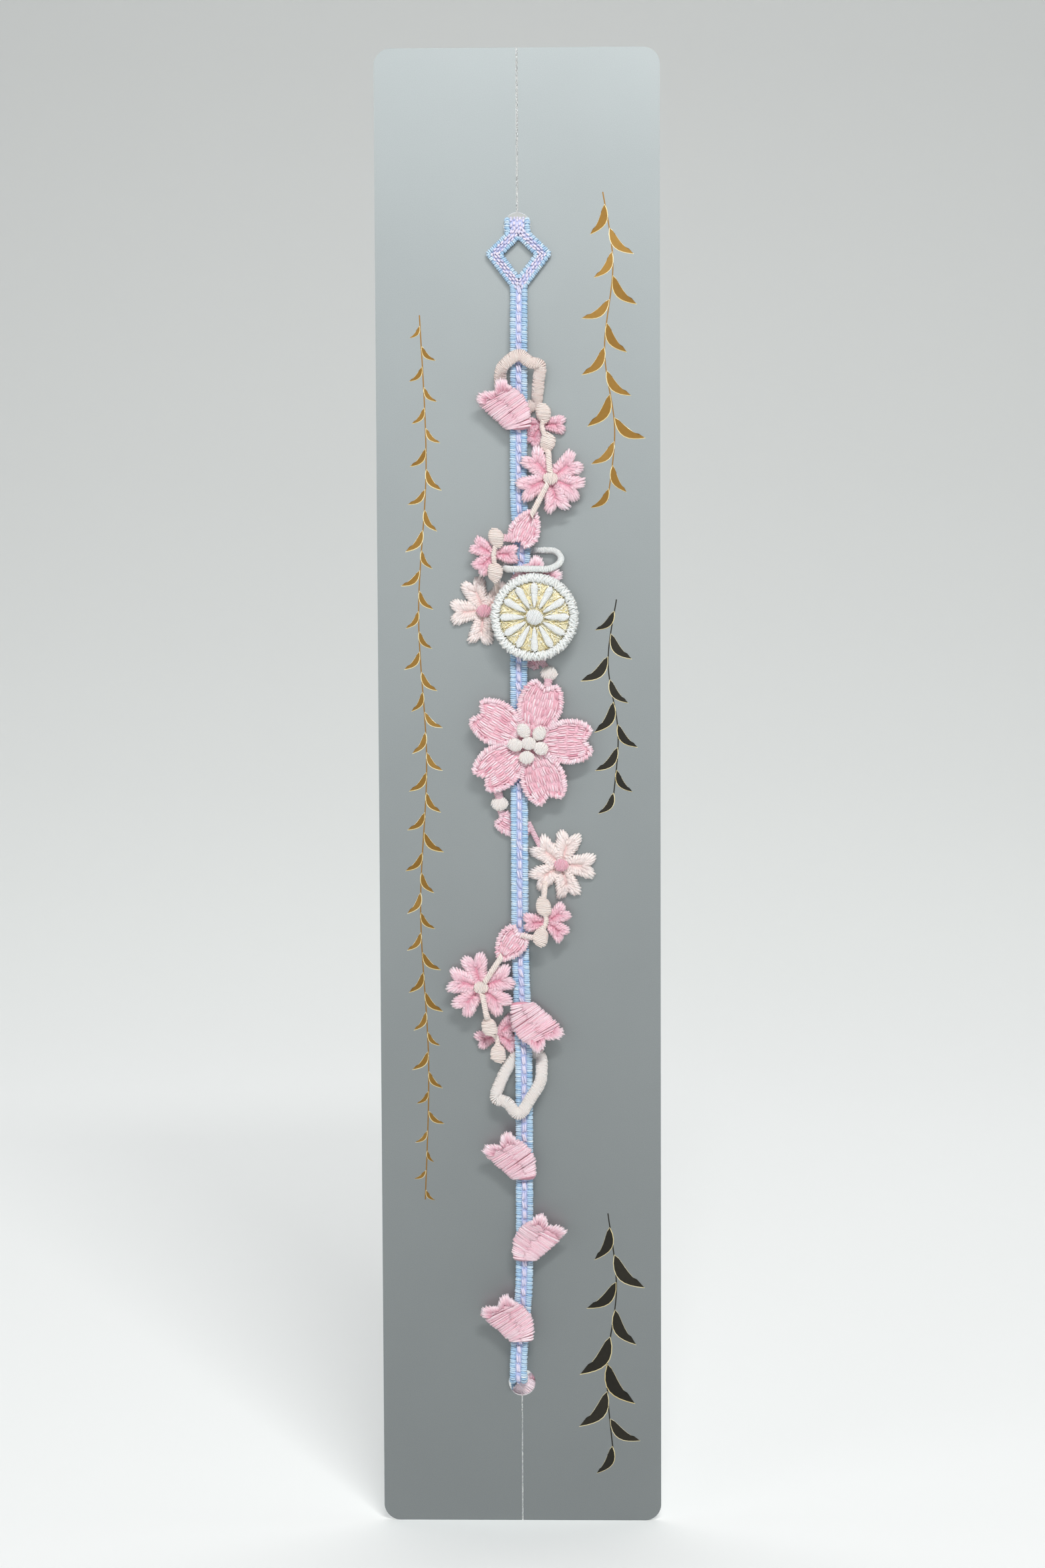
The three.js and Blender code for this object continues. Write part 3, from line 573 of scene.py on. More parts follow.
def foil_sprigs():
    """Sprigs pressed into the card as foil. Leaf i leaves its stem at station i, on alternate sides, at an
    angle to the stem's own heading. A leaf has a raised edge of gold with a painted highlight and a field that
    in two sprigs is gold with a painted dark reflection and in the other two dark foil: the same outline at
    smaller lengths and widths."""
    lace = Lace(5)
    for points, pitch, length, width, fill in SPRIGS:
        route = Route(smooth(points, False, 12))
        stations = route.stations(pitch)
        count = len(stations)
        hand = np.where(np.arange(count) % 2, 1.0, -1.0)
        ahead = route.heading(stations, 1.0)
        lean = np.arctan2(ahead[:, 1], ahead[:, 0]) + hand * lace.rng.normal(0.72, 0.1, count)
        size = lace.rng.normal(1, 0.09, count) * np.interp(stations / route.length, *LEAF_SIZES)
        tone = lace.rng.uniform(0.3, 0.7, count)
        along = pointing(lean)[:, :2]
        across = np.stack([along[:, 1], -along[:, 0]], axis=-1) * hand[:, None]
        base = route.at(stations)
        field = [(0.13, 0.02), (0.13, 0.029), (0.5 * width, 0.03), (0.9 * width, 0.03)]
        # The edge takes the painted highlight; the field takes the painted dark reflection or the dark print
        for finish, rings in ((0, EDGE_RINGS), (fill, field)):
            layers = []
            for inset, height in rings:
                flat = foil_leaf(size * (length - 2 * inset), size * np.maximum(width - inset, 0.05))
                flat = base[:, None] + (flat[..., :1] * across[:, None] + (flat[..., 1:] + inset) * along[:, None])
                layers.append(raised(flat, height))
            rings_of = np.stack(layers, axis=1)
            rings_of[hand > 0] = rings_of[hand > 0][:, :, ::-1]
            lace.loft(rings_of, tone, finish)
        lace.threads(raised(route.points, 0.012)[None], Z_AXIS, 0.016, 0.1, 0.5, fill, 6)
    lace.piece("foil_sprigs", [FOIL_EDGE_HIGHLIGHT, FOIL, DARK_FOIL], "card_and_band", [], rounded=False)


# The cuts in the card: lower and upper end, width of the gap, how many fibres and how far they stray
CUTS = [(0.2, 18.2, 0.2, 260, 0.035), (187.4, 209.8, 0.3, 150, 0.09)]
FIBRE_SHARE = 0.28  # half width of a fibre over the gap
FIBRE_STEPS = np.array([-1, -0.4, 0.4, 1])
FIBRE_ENDS = [0.5, 1, 1, 0.5]


def cut_fibres():
    """Paper fibres along the two cuts: short strands that lie across and along the gap between its edges,
    at uneven slants and a little below the card's face. Their tones run at random from grey to white, and the
    grey paints the shade inside the cuts."""
    lace = Lace(6)
    for low, high, gap, count, spread in CUTS:
        y = low + (high - low) * (np.arange(count) + lace.rng.uniform(0, 1, count)) / count
        x = lace.rng.normal(0, spread, count)
        lean = lace.rng.normal(np.pi / 2, 0.35, count)
        reach = lace.rng.uniform(0.1, 0.24, count)[:, None, None] * FIBRE_STEPS[None, :, None]
        spots = np.stack([x, y, lace.rng.uniform(-0.2, -0.06, count)], axis=-1)[:, None]
        paths = spots + pointing(lean)[:, None] * reach
        lace.stitches(paths, gap * FIBRE_SHARE, 0.04, lace.rng.uniform(0, 1, count), 0, 4, FIBRE_ENDS)
    lace.piece("cut_fibres", [PAPER], "card_and_band", [])


foil_sprigs()
cut_fibres()


# Band and eyelets

# Heights from the garland's middle, and how far the band is to the side there
BAND_SWAY = np.array([(-68, 0.5), (-47, 0.5), (-26, 0), (11, 0), (27, 0.5), (35, 0.1), (64, 0.2)])
BAND_TOP = 176.756
BAND_OVERLAP = 0.45
BAND_FOOT_Y = 14.22
BEND_RADIUS = 1
DIVE_X, DIVE_Y = -0.5, 20.796
LEAN_HIGH, LEAN_RUN = 15, 14  # the band leans towards the dive from this far above it, over this run
RISE_RUN = 7
SWAY_FADE = 20
NECK_Y, NECK_Z = 185.1, -0.25
NECK_FRONT_Y, NECK_BACK_Y = 184.2, 184.296
NECK_RAIL_X, NECK_RAIL_WIDTH = 1.4, 0.33
RAIL_X = 0.78
RAIL_WIDTH = 0.38
RAIL_RISE = 0.37
RAIL_PITCH = 0.6
RAIL_PAIR = np.array([-0.12, 0.13])  # the two turns of a pair, about their station
RAIL_THREAD = 0.15
DASH_PITCH = 1.4
DASH_ENDS = [0.5, 0.9, 1, 1, 1, 0.9, 0.5]
CHAIN_RISE = 0.3
FILL_PITCH = 0.5


def band_x(y):
    """How far the band sways to the side at a height: smooth steps between the listed offsets, which
    fade out over the last 20 mm above the dive."""
    rise = y - GARLAND_Y
    heights, offsets = BAND_SWAY.T
    after = np.clip(np.searchsorted(heights, rise), 1, len(heights) - 1)
    share = ease((rise - heights[after - 1]) / (heights[after] - heights[after - 1]))
    sway = offsets[after - 1] + (offsets[after] - offsets[after - 1]) * share
    return sway * ease((y - DIVE_Y - BEND_RADIUS) / SWAY_FADE)


def arc(centre_y, centre_z, start, end, steps=12):
    """Part of a bend's circle across the card: y follows the sine and z the cosine of angles in degrees."""
    angle = np.radians(np.linspace(start, end, steps))
    y, z = centre_y + BEND_RADIUS * np.sin(angle), centre_z + BEND_RADIUS * np.cos(angle)
    return np.stack([0 * angle, y, z], -1)


def band_route():
    """Down the front with its sway, rising off the card in 7 mm, then through the card in two quarter
    turns and down behind it."""
    y = np.linspace(BAND_TOP + BAND_OVERLAP, DIVE_Y + BEND_RADIUS, 320)
    z = END_MID + (BAND_MID - END_MID) * ease((BAND_TOP - y) / RISE_RUN)
    front = np.stack([band_x(y) + DIVE_X * ease((DIVE_Y + LEAN_HIGH - y) / LEAN_RUN), y, z], axis=-1)
    into = arc(DIVE_Y + BEND_RADIUS, BAND_MID - BEND_RADIUS, 0, -90) + [DIVE_X, 0, 0]
    out = arc(DIVE_Y - BEND_RADIUS, TAIL_MID + BEND_RADIUS, 90, 180) + [DIVE_X, 0, 0]
    return Route(np.vstack([front, into, out, [[0, BAND_FOOT_Y, TAIL_MID]]]))


def neck_route():
    """Half a turn from the front eyelet over the hole's edge to the back, with a short straight end."""
    half_turn = arc(NECK_Y, NECK_Z, 0, 180, 24)
    return Route(np.vstack([[[0, NECK_FRONT_Y, END_MID]], half_turn, [[0, NECK_BACK_Y, BACK_MID]]]))


def beside(along, flat):
    """The side of a route: square to it in the card's plane if it turns there, or else to the right."""
    return unit(np.cross(Z_AXIS, along)) if flat else np.broadcast_to(X_AXIS, along.shape)


def rail(lace, route, offset, width=RAIL_WIDTH, rise=RAIL_RISE, flat=False, reach=0.15):
    """A corded edge: turns of thread in pairs that sit close, wound round a line beside the route's own,
    over a filling. The line is the route moved by the offset along the side."""
    pairs = route.stations(RAIL_PITCH)
    lengths = (pairs[:, None] + RAIL_PAIR).ravel()
    lengths = np.clip(lengths + lace.rng.normal(0, 0.02, len(lengths)), 0.02, route.length - 0.02)
    many = len(lengths)
    wide = width * (1 + lace.rng.normal(0, 0.05, many))
    slant = lace.rng.normal(0.03, 0.025, many)

    def line_at(stations):
        along = route.heading(stations, reach)
        side = beside(along, flat)
        side = unit(side - along * np.sum(side * along, axis=-1, keepdims=True))
        return route.at(stations) + offset * side, along, side

    middles, along, side = line_at(lengths)
    lace.wraps(middles, along, side, wide, rise, RAIL_THREAD, 0.13, slant, lace.tone(many, 0.54, 0.15), 10)
    middles, along, side = line_at(route.stations(FILL_PITCH))
    lace.threads(middles[None], side[None], width * 0.9, rise * 0.9, 0.3, 0, 8)


def dashes(lace, route, flat=False, half=0.55, reach=0.15, pitch=DASH_PITCH, columns=(0.13, -0.13), stagger=0.0,
           fill=0.32, pale=0.78):
    """The chain down the middle: on each face columns of stitches, one in each pitch, that lean a little and
    whose ends dip and are painted deeper, as painted shade, and a flat filling between the rails. Each column
    is set off by the stagger."""
    starts = route.stations(pitch)
    count = len(starts)
    share = np.linspace(-0.44, 0.44, 7)
    along = route.heading(starts, reach)
    side = beside(along, flat)
    upright = np.cross(along, side)
    swell = CHAIN_RISE + 0.15 * np.sin(np.linspace(0.05, 0.95, 7) * np.pi)
    for face in (1, -1):
        lean = lace.rng.normal(0.1, 0.08, (count, 1)) * pitch / DASH_PITCH
        for number, offset in enumerate(columns):
            late = number % 2 * stagger * pitch
            lengths = starts[:, None] + share * pitch + late + lace.rng.normal(0, 0.05, (count, 1))
            drift = offset + lean * share * 2 + lace.rng.normal(0, 0.03, (count, 1))
            paths = (
                route.at(lengths)
                + side[:, None] * drift[..., None]
                + upright[:, None] * (face * swell)[None, :, None]
            )
            # Deeper towards each stitch's dipping ends: painted shade
            shade = lace.tone(count, pale, 0.12)[:, None] - 0.4 * np.abs(share * 2) ** 4
            lace.threads(paths, side[:, None], 0.16, 0.11, np.clip(shade, 0, 1), 1, 5, DASH_ENDS)
    line = route.stations(FILL_PITCH)
    lace.threads(route.at(line)[None], beside(route.heading(line, reach), flat), half, CHAIN_RISE, fill, 1, 8)


KNIT = dict(pitch=0.66, columns=(0.36, 0.0, -0.36), stagger=0.5, fill=0.42, pale=0.86)


def banded(name, route, body, seed, out=RAIL_X, width=RAIL_WIDTH, nodes=None, fold=None, **chain):
    """A length of band: two rails beside the route and the chain between them."""
    lace = Lace(seed)
    rail(lace, route, out, width)
    rail(lace, route, -out, width)
    dashes(lace, route, half=out - 0.2, **chain)
    lace.piece(name + "_lace", [BLUE, LILAC], body, nodes, fold=fold)


NECK_KNIT = KNIT | {"columns": (0.84, 0.42, 0.0, -0.42, -0.84)}
banded("band_front", band_route(), "card_and_band", 11)
banded("band_neck", neck_route(), "card_and_band", 12, NECK_RAIL_X, NECK_RAIL_WIDTH, **NECK_KNIT)

# Where the loose ends fold, a short straight length of band that doesn't bend with them: name, loose end,
# top and foot, depth, the rails' place and width, and the chain

FOLD_FROM, FOLD_TO = 0.45, 0.25  # where a bend would start below the top and end above the foot; nothing bends
FOLDS = [
    ("upper_fold", "upper_tail", 184.85, 183.15, BACK_MID, 1.25, 0.3, NECK_KNIT),
    ("lower_fold", "lower_tail", 14.75, 12.75, TAIL_MID, RAIL_X, RAIL_WIDTH, {}),
]
for number, (name, tail, high, low, z, out, width, chain) in enumerate(FOLDS):
    run = Route(raised(np.column_stack([np.zeros(9), np.linspace(high, low, 9)]), z))
    bend = (tail, (0.0, high - FOLD_FROM, z), (0.0, low + FOLD_TO, z))
    banded(name, run, "card_and_band", 16 + number, out, width, [], bend, **chain)


def meet(point_a, along_a, point_b, along_b):
    """Where two lines in the plane cross."""
    share = np.linalg.solve(np.stack([along_a, -along_b], axis=1), point_b - point_a)[0]
    return point_a + along_a * share


EYELET_OUTER = np.array([(1.5, 0.0), (4.8, -3.2), (1.25, -7.8)])


def eyelet_line(inset, first, last, hand):
    """A line at a distance inside the eyelet's outline on one hand, from the first x on its upper edge round
    the side corner to the last x on its lower edge. Both straight edges move inwards and meet again."""
    top, corner, foot = EYELET_OUTER
    upper, lower = unit(corner - top), unit(foot - corner)
    upper_in = np.array([upper[1], -upper[0]]) * inset
    lower_in = np.array([lower[1], -lower[0]]) * inset
    level = np.array([0.0, 1.0])
    bend = meet(top + upper_in, upper, corner + lower_in, lower)
    start = meet(top + upper_in, upper, np.array([first, 0.0]), level)
    end = meet(corner + lower_in, lower, np.array([last, 0.0]), level)
    return np.array([start, bend, end]) * [hand, 1]


EYELET_FRONT_Y, EYELET_BACK_Y = 184.676, 183.676
EYELET_RAIL = dict(width=0.28, rise=0.4, flat=True)
EYELET_FOOT = [(-1.05, -7.7), (-0.5, -8.0), (0.5, -8.0), (1.05, -7.7)]
# On each hand: what runs there, its inset, the x where it starts and ends, and what goes before and after
EYELET_LINES = [
    ("rail", 0.36, 1.45, 1.0, [(1.25, 0.25)], [(0.78, -7.95)]),
    ("chain", 1.0, 0.4, 0.45, [(0.0, 0.3)], [(0.0, -7.95)]),
    ("rail", 1.66, 0.0, 0.0, [], []),
]


def eyelet(name, x, y, z, body, seed, free=False):
    """The diamond end: on each hand an outer rail from the neck to the band, the chain, which parts above
    and joins again below, and an inner rail round the opening. A free one is closed below by a short rail."""
    lace = Lace(seed)
    if free:
        foot = np.array(EYELET_FOOT) + [x, y]
        rail(lace, Route(raised(smooth(foot), z)), 0.0, **EYELET_RAIL)
    for hand in (1, -1):
        for kind, inset, first, last, top, foot in EYELET_LINES:
            ends = [np.array(end).reshape(-1, 2) * [hand, 1] for end in (top, foot)]
            line = np.vstack([ends[0], eyelet_line(inset, first, last, hand), ends[1]]) + [x, y]
            route = Route(raised(line, z))
            if kind == "rail":
                rail(lace, route, 0.0, **EYELET_RAIL, reach=0.35)
            else:
                dashes(lace, route, flat=True, reach=0.35, half=0.6, **KNIT)
    lace.piece(name + "_lace", [BLUE, LILAC], body)


eyelet("eyelet_front", float(band_x(EYELET_FRONT_Y)), EYELET_FRONT_Y, END_MID, "card_and_band", 13)
eyelet("eyelet_back", 0.0, EYELET_BACK_Y, BACK_MID, "upper_tail", 14, free=True)

TAIL_FOLD_Y = 13.6
TAIL_LENGTH = 9
TAIL_TIP = 1.25
TAIL_START_Y = 13.55


def band_tail():
    """The loose end behind the card: two rails that meet in a round tip, and the chain between them."""
    lace = Lace(15)
    y0, y1 = TAIL_START_Y, TAIL_FOLD_Y - TAIL_LENGTH + TAIL_TIP
    angle = np.radians(np.linspace(0, -180, 15))[1:-1]
    turn = np.column_stack([RAIL_X * np.cos(angle), y1 + RAIL_X * np.sin(angle)])
    line = np.vstack([[RAIL_X, y0], [RAIL_X, y1], turn, [-RAIL_X, y1], [-RAIL_X, y0]])
    rail(lace, Route(raised(line, TAIL_MID)), 0.0, flat=True)
    dashes(lace, Route([[0, y0, TAIL_MID], [0, y1, TAIL_MID]]))
    lace.piece("band_tail_lace", [BLUE, LILAC], "lower_tail")


band_tail()


# Petals stitched on the band, as shares of their span from the middle of the foot, leaning left and up

PETAL_SPAN = 7.0
PETAL_OUTER = [(-0.2, 0), (-0.44, 0.2), (-0.71, 0.45), (-0.83, 0.6)]
PETAL_INNER = [(0.2, 0), (0.21, 0.2), (0.17, 0.47), (0.02, 0.7), (-0.17, 0.83)]
LOBE_A = [(-0.8, 0.52), (-0.85, 0.6), (-0.8, 0.68), (-0.7, 0.73), (-0.57, 0.73), (-0.47, 0.73)]
LOBE_B = [(-0.47, 0.76), (-0.46, 0.86), (-0.42, 0.95), (-0.31, 1.0), (-0.22, 0.92), (-0.15, 0.82)]
LOBE_ROOTS = ([(-0.58, 0.5), (-0.44, 0.62)], [(-0.4, 0.66), (-0.2, 0.72)])
PETAL_EDGE = PETAL_OUTER + LOBE_A[2:] + LOBE_B + PETAL_INNER[-2::-1]
OVER_THE_EDGE = np.array([0.0, 0.03, 0.12, 0.32, 0.5, 0.68, 0.88, 0.97, 1.0])
EDGE_HEIGHT = np.array([0.1, 0.5, 0.84, 0.97, 1.0, 0.97, 0.84, 0.5, 0.1])
HALF_ENDS = [0.7, 0.95, 1, 1, 1, 0.95, 0.6]
PETAL_THREADS = 31
LOBE_THREADS = 15
LOBE_SWELL = np.array([0.62, 0.98, 1.08, 1.06, 0.86, 0.35]) * LACE_THICK
LOBE_TONES = np.array([0.12, 0.2, 0.4, 0.66, 0.9, 0.98])
LOBE_ENDS = [0.6, 0.9, 1, 1, 0.95, 0.5]
BEHIND = -1.55  # lower side of the petal behind the card
BAND_CORNER = (0.8, 20.0)


def band_petal(name, x, y, mirror, flip, bottom, curl, clip, seed, shade=0.0):
    """Threads laid across the petal from its outer to its inner edge, and a fringe fanned over each lobe.

    Thread i starts at a power of its share of the outer edge and ends at a root of its share of the inner
    one, so the threads are level at the foot and climb towards the lobes. Each is two stitches that meet
    near the middle. Heights follow a flat arch from edge to edge, and the lobes curl up by the smooth step
    of their height. A small pad under the foot sits on the band. A petal with a clip, an x and a y, is cut
    level at that y on the left of that x, where the band passes, and shows both faces. A shade paints the
    pad and the threads across the petal paler: painted light where the petal lies in shade.
    """
    lace = Lace(seed)
    rng = lace.rng
    top = bottom + LACE_THICK

    def set_down(flat):
        return np.stack([x + mirror * PETAL_SPAN * flat[..., 0], y + flip * PETAL_SPAN * flat[..., 1]], -1)

    def curled(flat):
        return curl * ease((np.abs(flat[..., 1] - y) / PETAL_SPAN - 0.25) / 0.8) ** 1.4

    outline = set_down(smooth(PETAL_EDGE, True, 3))
    if clip is not None:
        outline[:, 1] = np.where(outline[:, 0] < clip[0], np.minimum(outline[:, 1], clip[1]), outline[:, 1])
    lace.pad(outline, bottom + 0.06, top - 0.3, 0.2 + shade, curled)
    if clip is None:
        turn = evenly_round(16)
        foot = np.column_stack([x + 0.95 * np.cos(turn), y + flip * (1.15 + np.sin(turn))])
        lace.pad(foot, BAND_MID + 0.25, bottom + 0.4, 0.3)
    outer, inner = (Route(smooth(edge)) for edge in (PETAL_OUTER, PETAL_INNER))
    share = np.linspace(0.02, 0.97, PETAL_THREADS)
    share = share + rng.normal(0, 0.006, len(share))
    a = outer.share(share**1.5 * 0.97 + rng.normal(0, 0.006, len(share)))
    b = inner.share(share**0.7 + rng.normal(0, 0.008, len(share)))
    overhang = rng.uniform(0.02, 0.05, (2, len(share), 1)) * unit(b - a)
    ends = set_down(np.stack([a - overhang[0], b + overhang[1]]))
    if clip is not None:
        across, climb = (ends[1] - ends[0]).T
        reach = np.maximum((clip[0] - ends[0, :, 0]) / across, (clip[1] - ends[0, :, 1]) / climb)
        reach = np.where((ends[1, :, 1] > clip[1]) & (ends[1, :, 0] < clip[0]), np.clip(reach, 0.02, 1), 1)
        ends[1] = ends[0] + (ends[1] - ends[0]) * reach[:, None]
    middle = rng.uniform(0.4, 0.6, (len(share), 1))
    lie = rng.normal(0, 0.03, (len(share), 1))
    half_way = np.linspace(0, 1, 7) ** 1.6
    for first in (True, False):
        along = half_way * (middle + 0.04) if first else 1 - half_way * (1.04 - middle)
        flat = ends[0][:, None] + (ends[1] - ends[0])[:, None] * along[..., None]
        arch = np.interp(along, OVER_THE_EDGE, EDGE_HEIGHT) * (LACE_THICK - 0.14) + lie
        arch = arch - 0.07 * half_way**6
        tone = lace.tone(len(share), 0.54 + shade, 0.1)[:, None] + 0.16 * (1 - half_way)
        tone = tone + 0.16 * (1 - ease(share[:, None] * 3.5))
        for side_z in (1,) if clip is None else (1, -1):
            heights = bottom + LACE_THICK / 2 + side_z * (0.05 + arch - LACE_THICK / 2) + curled(flat)
            lace.stitches(raised(flat, heights), 0.155, 0.12, tone, ends=HALF_ENDS)
    for edge, root in zip((LOBE_A, LOBE_B), LOBE_ROOTS):
        count = LOBE_THREADS
        tips = Route(smooth(edge)).share((np.arange(count) + 0.5) / count)
        roots = Route(root).share(np.linspace(0, 1, count))
        tips = tips + unit(tips - roots) * rng.uniform(-0.015, 0.045, (count, 1))
        steps = np.linspace(0, 1, 6)
        starts = roots + (tips - roots) * rng.uniform(0.0, 0.35, (count, 1))
        laid = set_down(starts[:, None] + (tips - starts)[:, None] * steps[None, :, None])
        swell = LOBE_SWELL + rng.normal(0, 0.04, (count, 1))
        tone = lace.tone(count, 0.0, 0.08)[:, None] + LOBE_TONES
        for swells in (swell,) if clip is None else (swell, LACE_THICK - swell):
            paths = raised(laid, bottom + swells + curled(laid))
            lace.stitches(paths, 0.16, 0.13, tone, ends=LOBE_ENDS)
    lace.piece(name + "_lace", [PINK], "card_and_band")


# Name, height of the foot, mirrored or not, up or down, and how far the lobes curl
BAND_PETALS = [
    ("band_petal_1", 157.0, 1, 1, 1.0),
    ("band_petal_2", 132.3, -1, 1, 0.1),
    ("band_petal_3", 75.9, -1, -1, 1.1),
    ("lower_petal_4", 50.55, 1, 1, 1.3),
    ("lower_petal_3", 38.8, -1, 1, 1.3),
    ("lower_petal_2", 27.05, 1, 1, 1.3),
]
for number, (petal, foot, mirror, flip, curl) in enumerate(BAND_PETALS):
    band_petal(petal, float(band_x(foot)), foot, mirror, flip, OVER, curl, None, 21 + number)
# lower_petal_1 lies in the shade of the lower hole; its shade of 0.8 paints it paler, as painted light
band_petal("lower_petal_1", 0.0, 15.3, -1, 1, BEHIND, 0.0, BAND_CORNER, 28, 0.8)


# Garland


# Edges of a notched and of a full petal, as shares of width and reach
NOTCHED = [(0.14, 0.06), (0.29, 0.22), (0.39, 0.45), (0.46, 0.7), (0.5, 0.88), (0.42, 0.99), (0.26, 1.0)]
FULL = [(0.1, 0.02), (0.27, 0.17), (0.42, 0.38), (0.5, 0.61), (0.46, 0.81), (0.36, 0.94), (0.24, 1.0)]


def petal_outline(edge, reach, width, into_notch, steps):
    """A petal that points up: its right side, a curve from the root along the edge to the lobe's tip and
    into the notch, and its whole outline, which goes on along the mirror image of that side."""
    right = smooth(np.vstack([np.array(edge) * [width, reach], into_notch]), False, steps)
    return right, np.vstack([right, (right * [-1, 1])[::-1]])


FEATHER_ENDS = [0.6, 0.92, 1, 1, 0.95, 0.6]
# Rows of a puffed petal: where they start and end, and their heights as shares of its thickness
STITCH_ROWS = [
    (0.0, 0.62, np.array([0.4, 0.72, 0.92, 1.0, 0.96, 0.84])),
    (0.44, 1.02, np.array([0.84, 0.98, 1.0, 0.86, 0.58, 0.16])),
]


def rows_of_stitches(lace, roots, tips, bottom, thick, width, tones, place):
    """Two rows of short stitches from the roots towards the tips, the second one half a stitch aside and
    over the ends of the first. Heights follow one arch over both rows."""
    rng = lace.rng
    count = len(roots)
    inside = (np.arange(count) < count - 1)[:, None]
    for row, (first, last, arch) in enumerate(STITCH_ROWS):
        a, b = (spots + row * 0.5 * (np.roll(spots, -1, 0) - spots) * inside for spots in (roots, tips))
        reach = b - a
        start = first + rng.uniform(-0.05, 0.05, (count, 1, 1)) * (first > 0)
        end = last + rng.uniform(-0.06, 0.06, (count, 1, 1))
        share = start + (end - start) * np.linspace(0, 1, 6)[None, :, None]
        flat = place(a[:, None] + reach[:, None] * share)
        paths = raised(flat, bottom + arch * thick + rng.normal(0, 0.04, (count, 1)))
        tone = lace.tone(count, 0.0, 0.1)[:, None] + tones[0] + (tones[1] - tones[0]) * share[..., 0]
        lace.stitches(paths, width, 0.14, tone, ends=FEATHER_ENDS)


FEATHER_PITCH = 0.42
FEATHER_THICK = 0.86
VALLEY = [(0.012, 0.16), (0.012, 0.42), (0.006, 0.6)]  # shares of the petal's width and reach


def feather(lace, middle, degrees, reach, width, notch, bottom, deep, pale=0.85):
    """A puffed petal: rows of stitches that slant from a valley on its middle line to each edge.

    Stitch i goes from the point at its share of the valley to the point at the same share of the edge, from
    root round the lobe into the notch. Past the valley's end the stitches fan out from it. Every second one
    stands out a little.
    """
    rng = lace.rng
    into_notch = [(0.12 * width, reach - 0.45 * notch), (0.03 * width, reach - notch)]
    right, outline = petal_outline(NOTCHED, reach, width, into_notch, 5)
    lace.pad(middle + turned(outline * 0.95, degrees), bottom + 0.05, bottom + FEATHER_THICK - 0.25, 0.1)
    edge = Route(right)
    count = max(6, int(round(edge.length / FEATHER_PITCH)))
    share = (np.arange(count) + 0.5) / count
    valley = Route(np.array(VALLEY) * [width, reach])
    for hand in (1, -1):
        a = valley.share(np.minimum(share / 0.74, 1)) + rng.normal(0, 0.03, (count, 2))
        b = edge.share(np.clip(share + rng.normal(0, 0.008, count), 0, 0.99))
        proud = 0.2 * (np.arange(count) % 2)[:, None]
        b = b + unit(b - a) * (rng.uniform(-0.08, 0.1, (count, 1)) + proud)
        rows_of_stitches(
            lace, a, b, bottom, FEATHER_THICK - 0.06, 0.22, (deep, pale),
            lambda flat: middle + turned(flat * np.array([hand, 1]), degrees)
        )


EDGE_PITCH = 0.34
EDGE_STEPS = np.array([0, 0.12, 0.38, 0.66, 0.88, 1.0])
EDGE_SWELL = np.array([0.2, 0.72, 1.0, 1.02, 0.9, 0.66]) * (LACE_THICK - 0.04)
EDGE_TONES = np.array([0.16, 0.16, 0.1, 0, -0.1, -0.18])
FIELD_RUN = 1.7
FIELD_SWELL = np.array([0.66, 0.84, 0.92, 0.92, 0.84, 0.66]) * LACE_THICK


def corded(lace, middle, degrees, reach, width, notch, bottom, edge_width=0.8, rows=17):
    """A large petal: a corded edge of slanting stitches round a field of long stitches from root to tip.

    An edge stitch crosses the edge's line at its station, turned from square by the slant, and arches
    over it. A field stitch lies on one of the rows that fan out from the root, at a share of the petal's
    own half width there, and each row is cut into runs with small gaps.
    """
    rng = lace.rng
    into_notch = [(0.1 * width, reach - 0.5 * notch), (0.03, reach - notch)]
    right, outline = petal_outline(FULL, reach, width, into_notch, 6)
    lace.pad(middle + turned(outline, degrees), bottom + 0.05, bottom + LACE_THICK - 0.13, 0.42)
    edge = Route(np.delete(outline, len(right), axis=0))
    lengths = edge.stations(EDGE_PITCH)
    along = edge.heading(lengths, 0.25)
    inward = np.stack([-along[:, 1], along[:, 0]], axis=-1)
    slanted = unit(inward + 0.5 * along * np.sign(edge.length / 2 - lengths)[:, None])
    count = len(lengths)
    proud = 0.1 * (np.arange(count) % 2)[:, None]
    starts = edge.at(lengths) - slanted * (rng.uniform(-0.02, 0.1, (count, 1)) + proud)
    sweep = slanted * (edge_width * rng.uniform(0.85, 1.15, (count, 1)))
    flat = middle + turned(starts[:, None] + sweep[:, None] * EDGE_STEPS[None, :, None], degrees)
    paths = raised(flat, bottom + EDGE_SWELL + rng.normal(0, 0.03, (count, 1)))
    tone = lace.tone(count, 0.68, 0.12)[:, None] + EDGE_TONES
    lace.stitches(paths, 0.18, 0.14, tone, ends=FEATHER_ENDS)
    row = np.linspace(-0.97, 0.97, rows)
    runs = max(2, int(round(reach / FIELD_RUN)))
    fan, cut = (grid.ravel() for grid in np.meshgrid(row, np.arange(runs)))
    count = len(fan)
    inner = 0.17 * reach
    outer = reach - notch * (1.2 - 0.9 * np.abs(fan)) - 0.5 * edge_width
    first = inner + (outer - inner) * np.clip((cut + rng.uniform(-0.35, 0.2, count)) / runs, 0, 1)
    last = inner + (outer - inner) * np.clip((cut + rng.uniform(0.85, 1.3, count)) / runs, 0, 1)
    height = first[:, None] + (last - first)[:, None] * np.linspace(0, 1, 6)
    rim = right[:-12]
    half = np.interp(height, rim[:, 1], rim[:, 0]) - 0.5 * edge_width
    spread = fan[:, None] * np.maximum(half, 0.12) + rng.normal(0, 0.04, (count, 1))
    flat = middle + turned(np.stack([spread, height], axis=-1), degrees)
    paths = raised(flat, bottom + FIELD_SWELL + rng.normal(0, 0.03, (count, 1)))
    # Paler in the raised middle of each field stitch: a painted highlight
    tone = lace.tone(count, 0.56, 0.2)[:, None] + 0.1 * np.sin(np.linspace(0, np.pi, 6))
    lace.stitches(paths, 0.14, 0.11, tone, ends=FEATHER_ENDS)


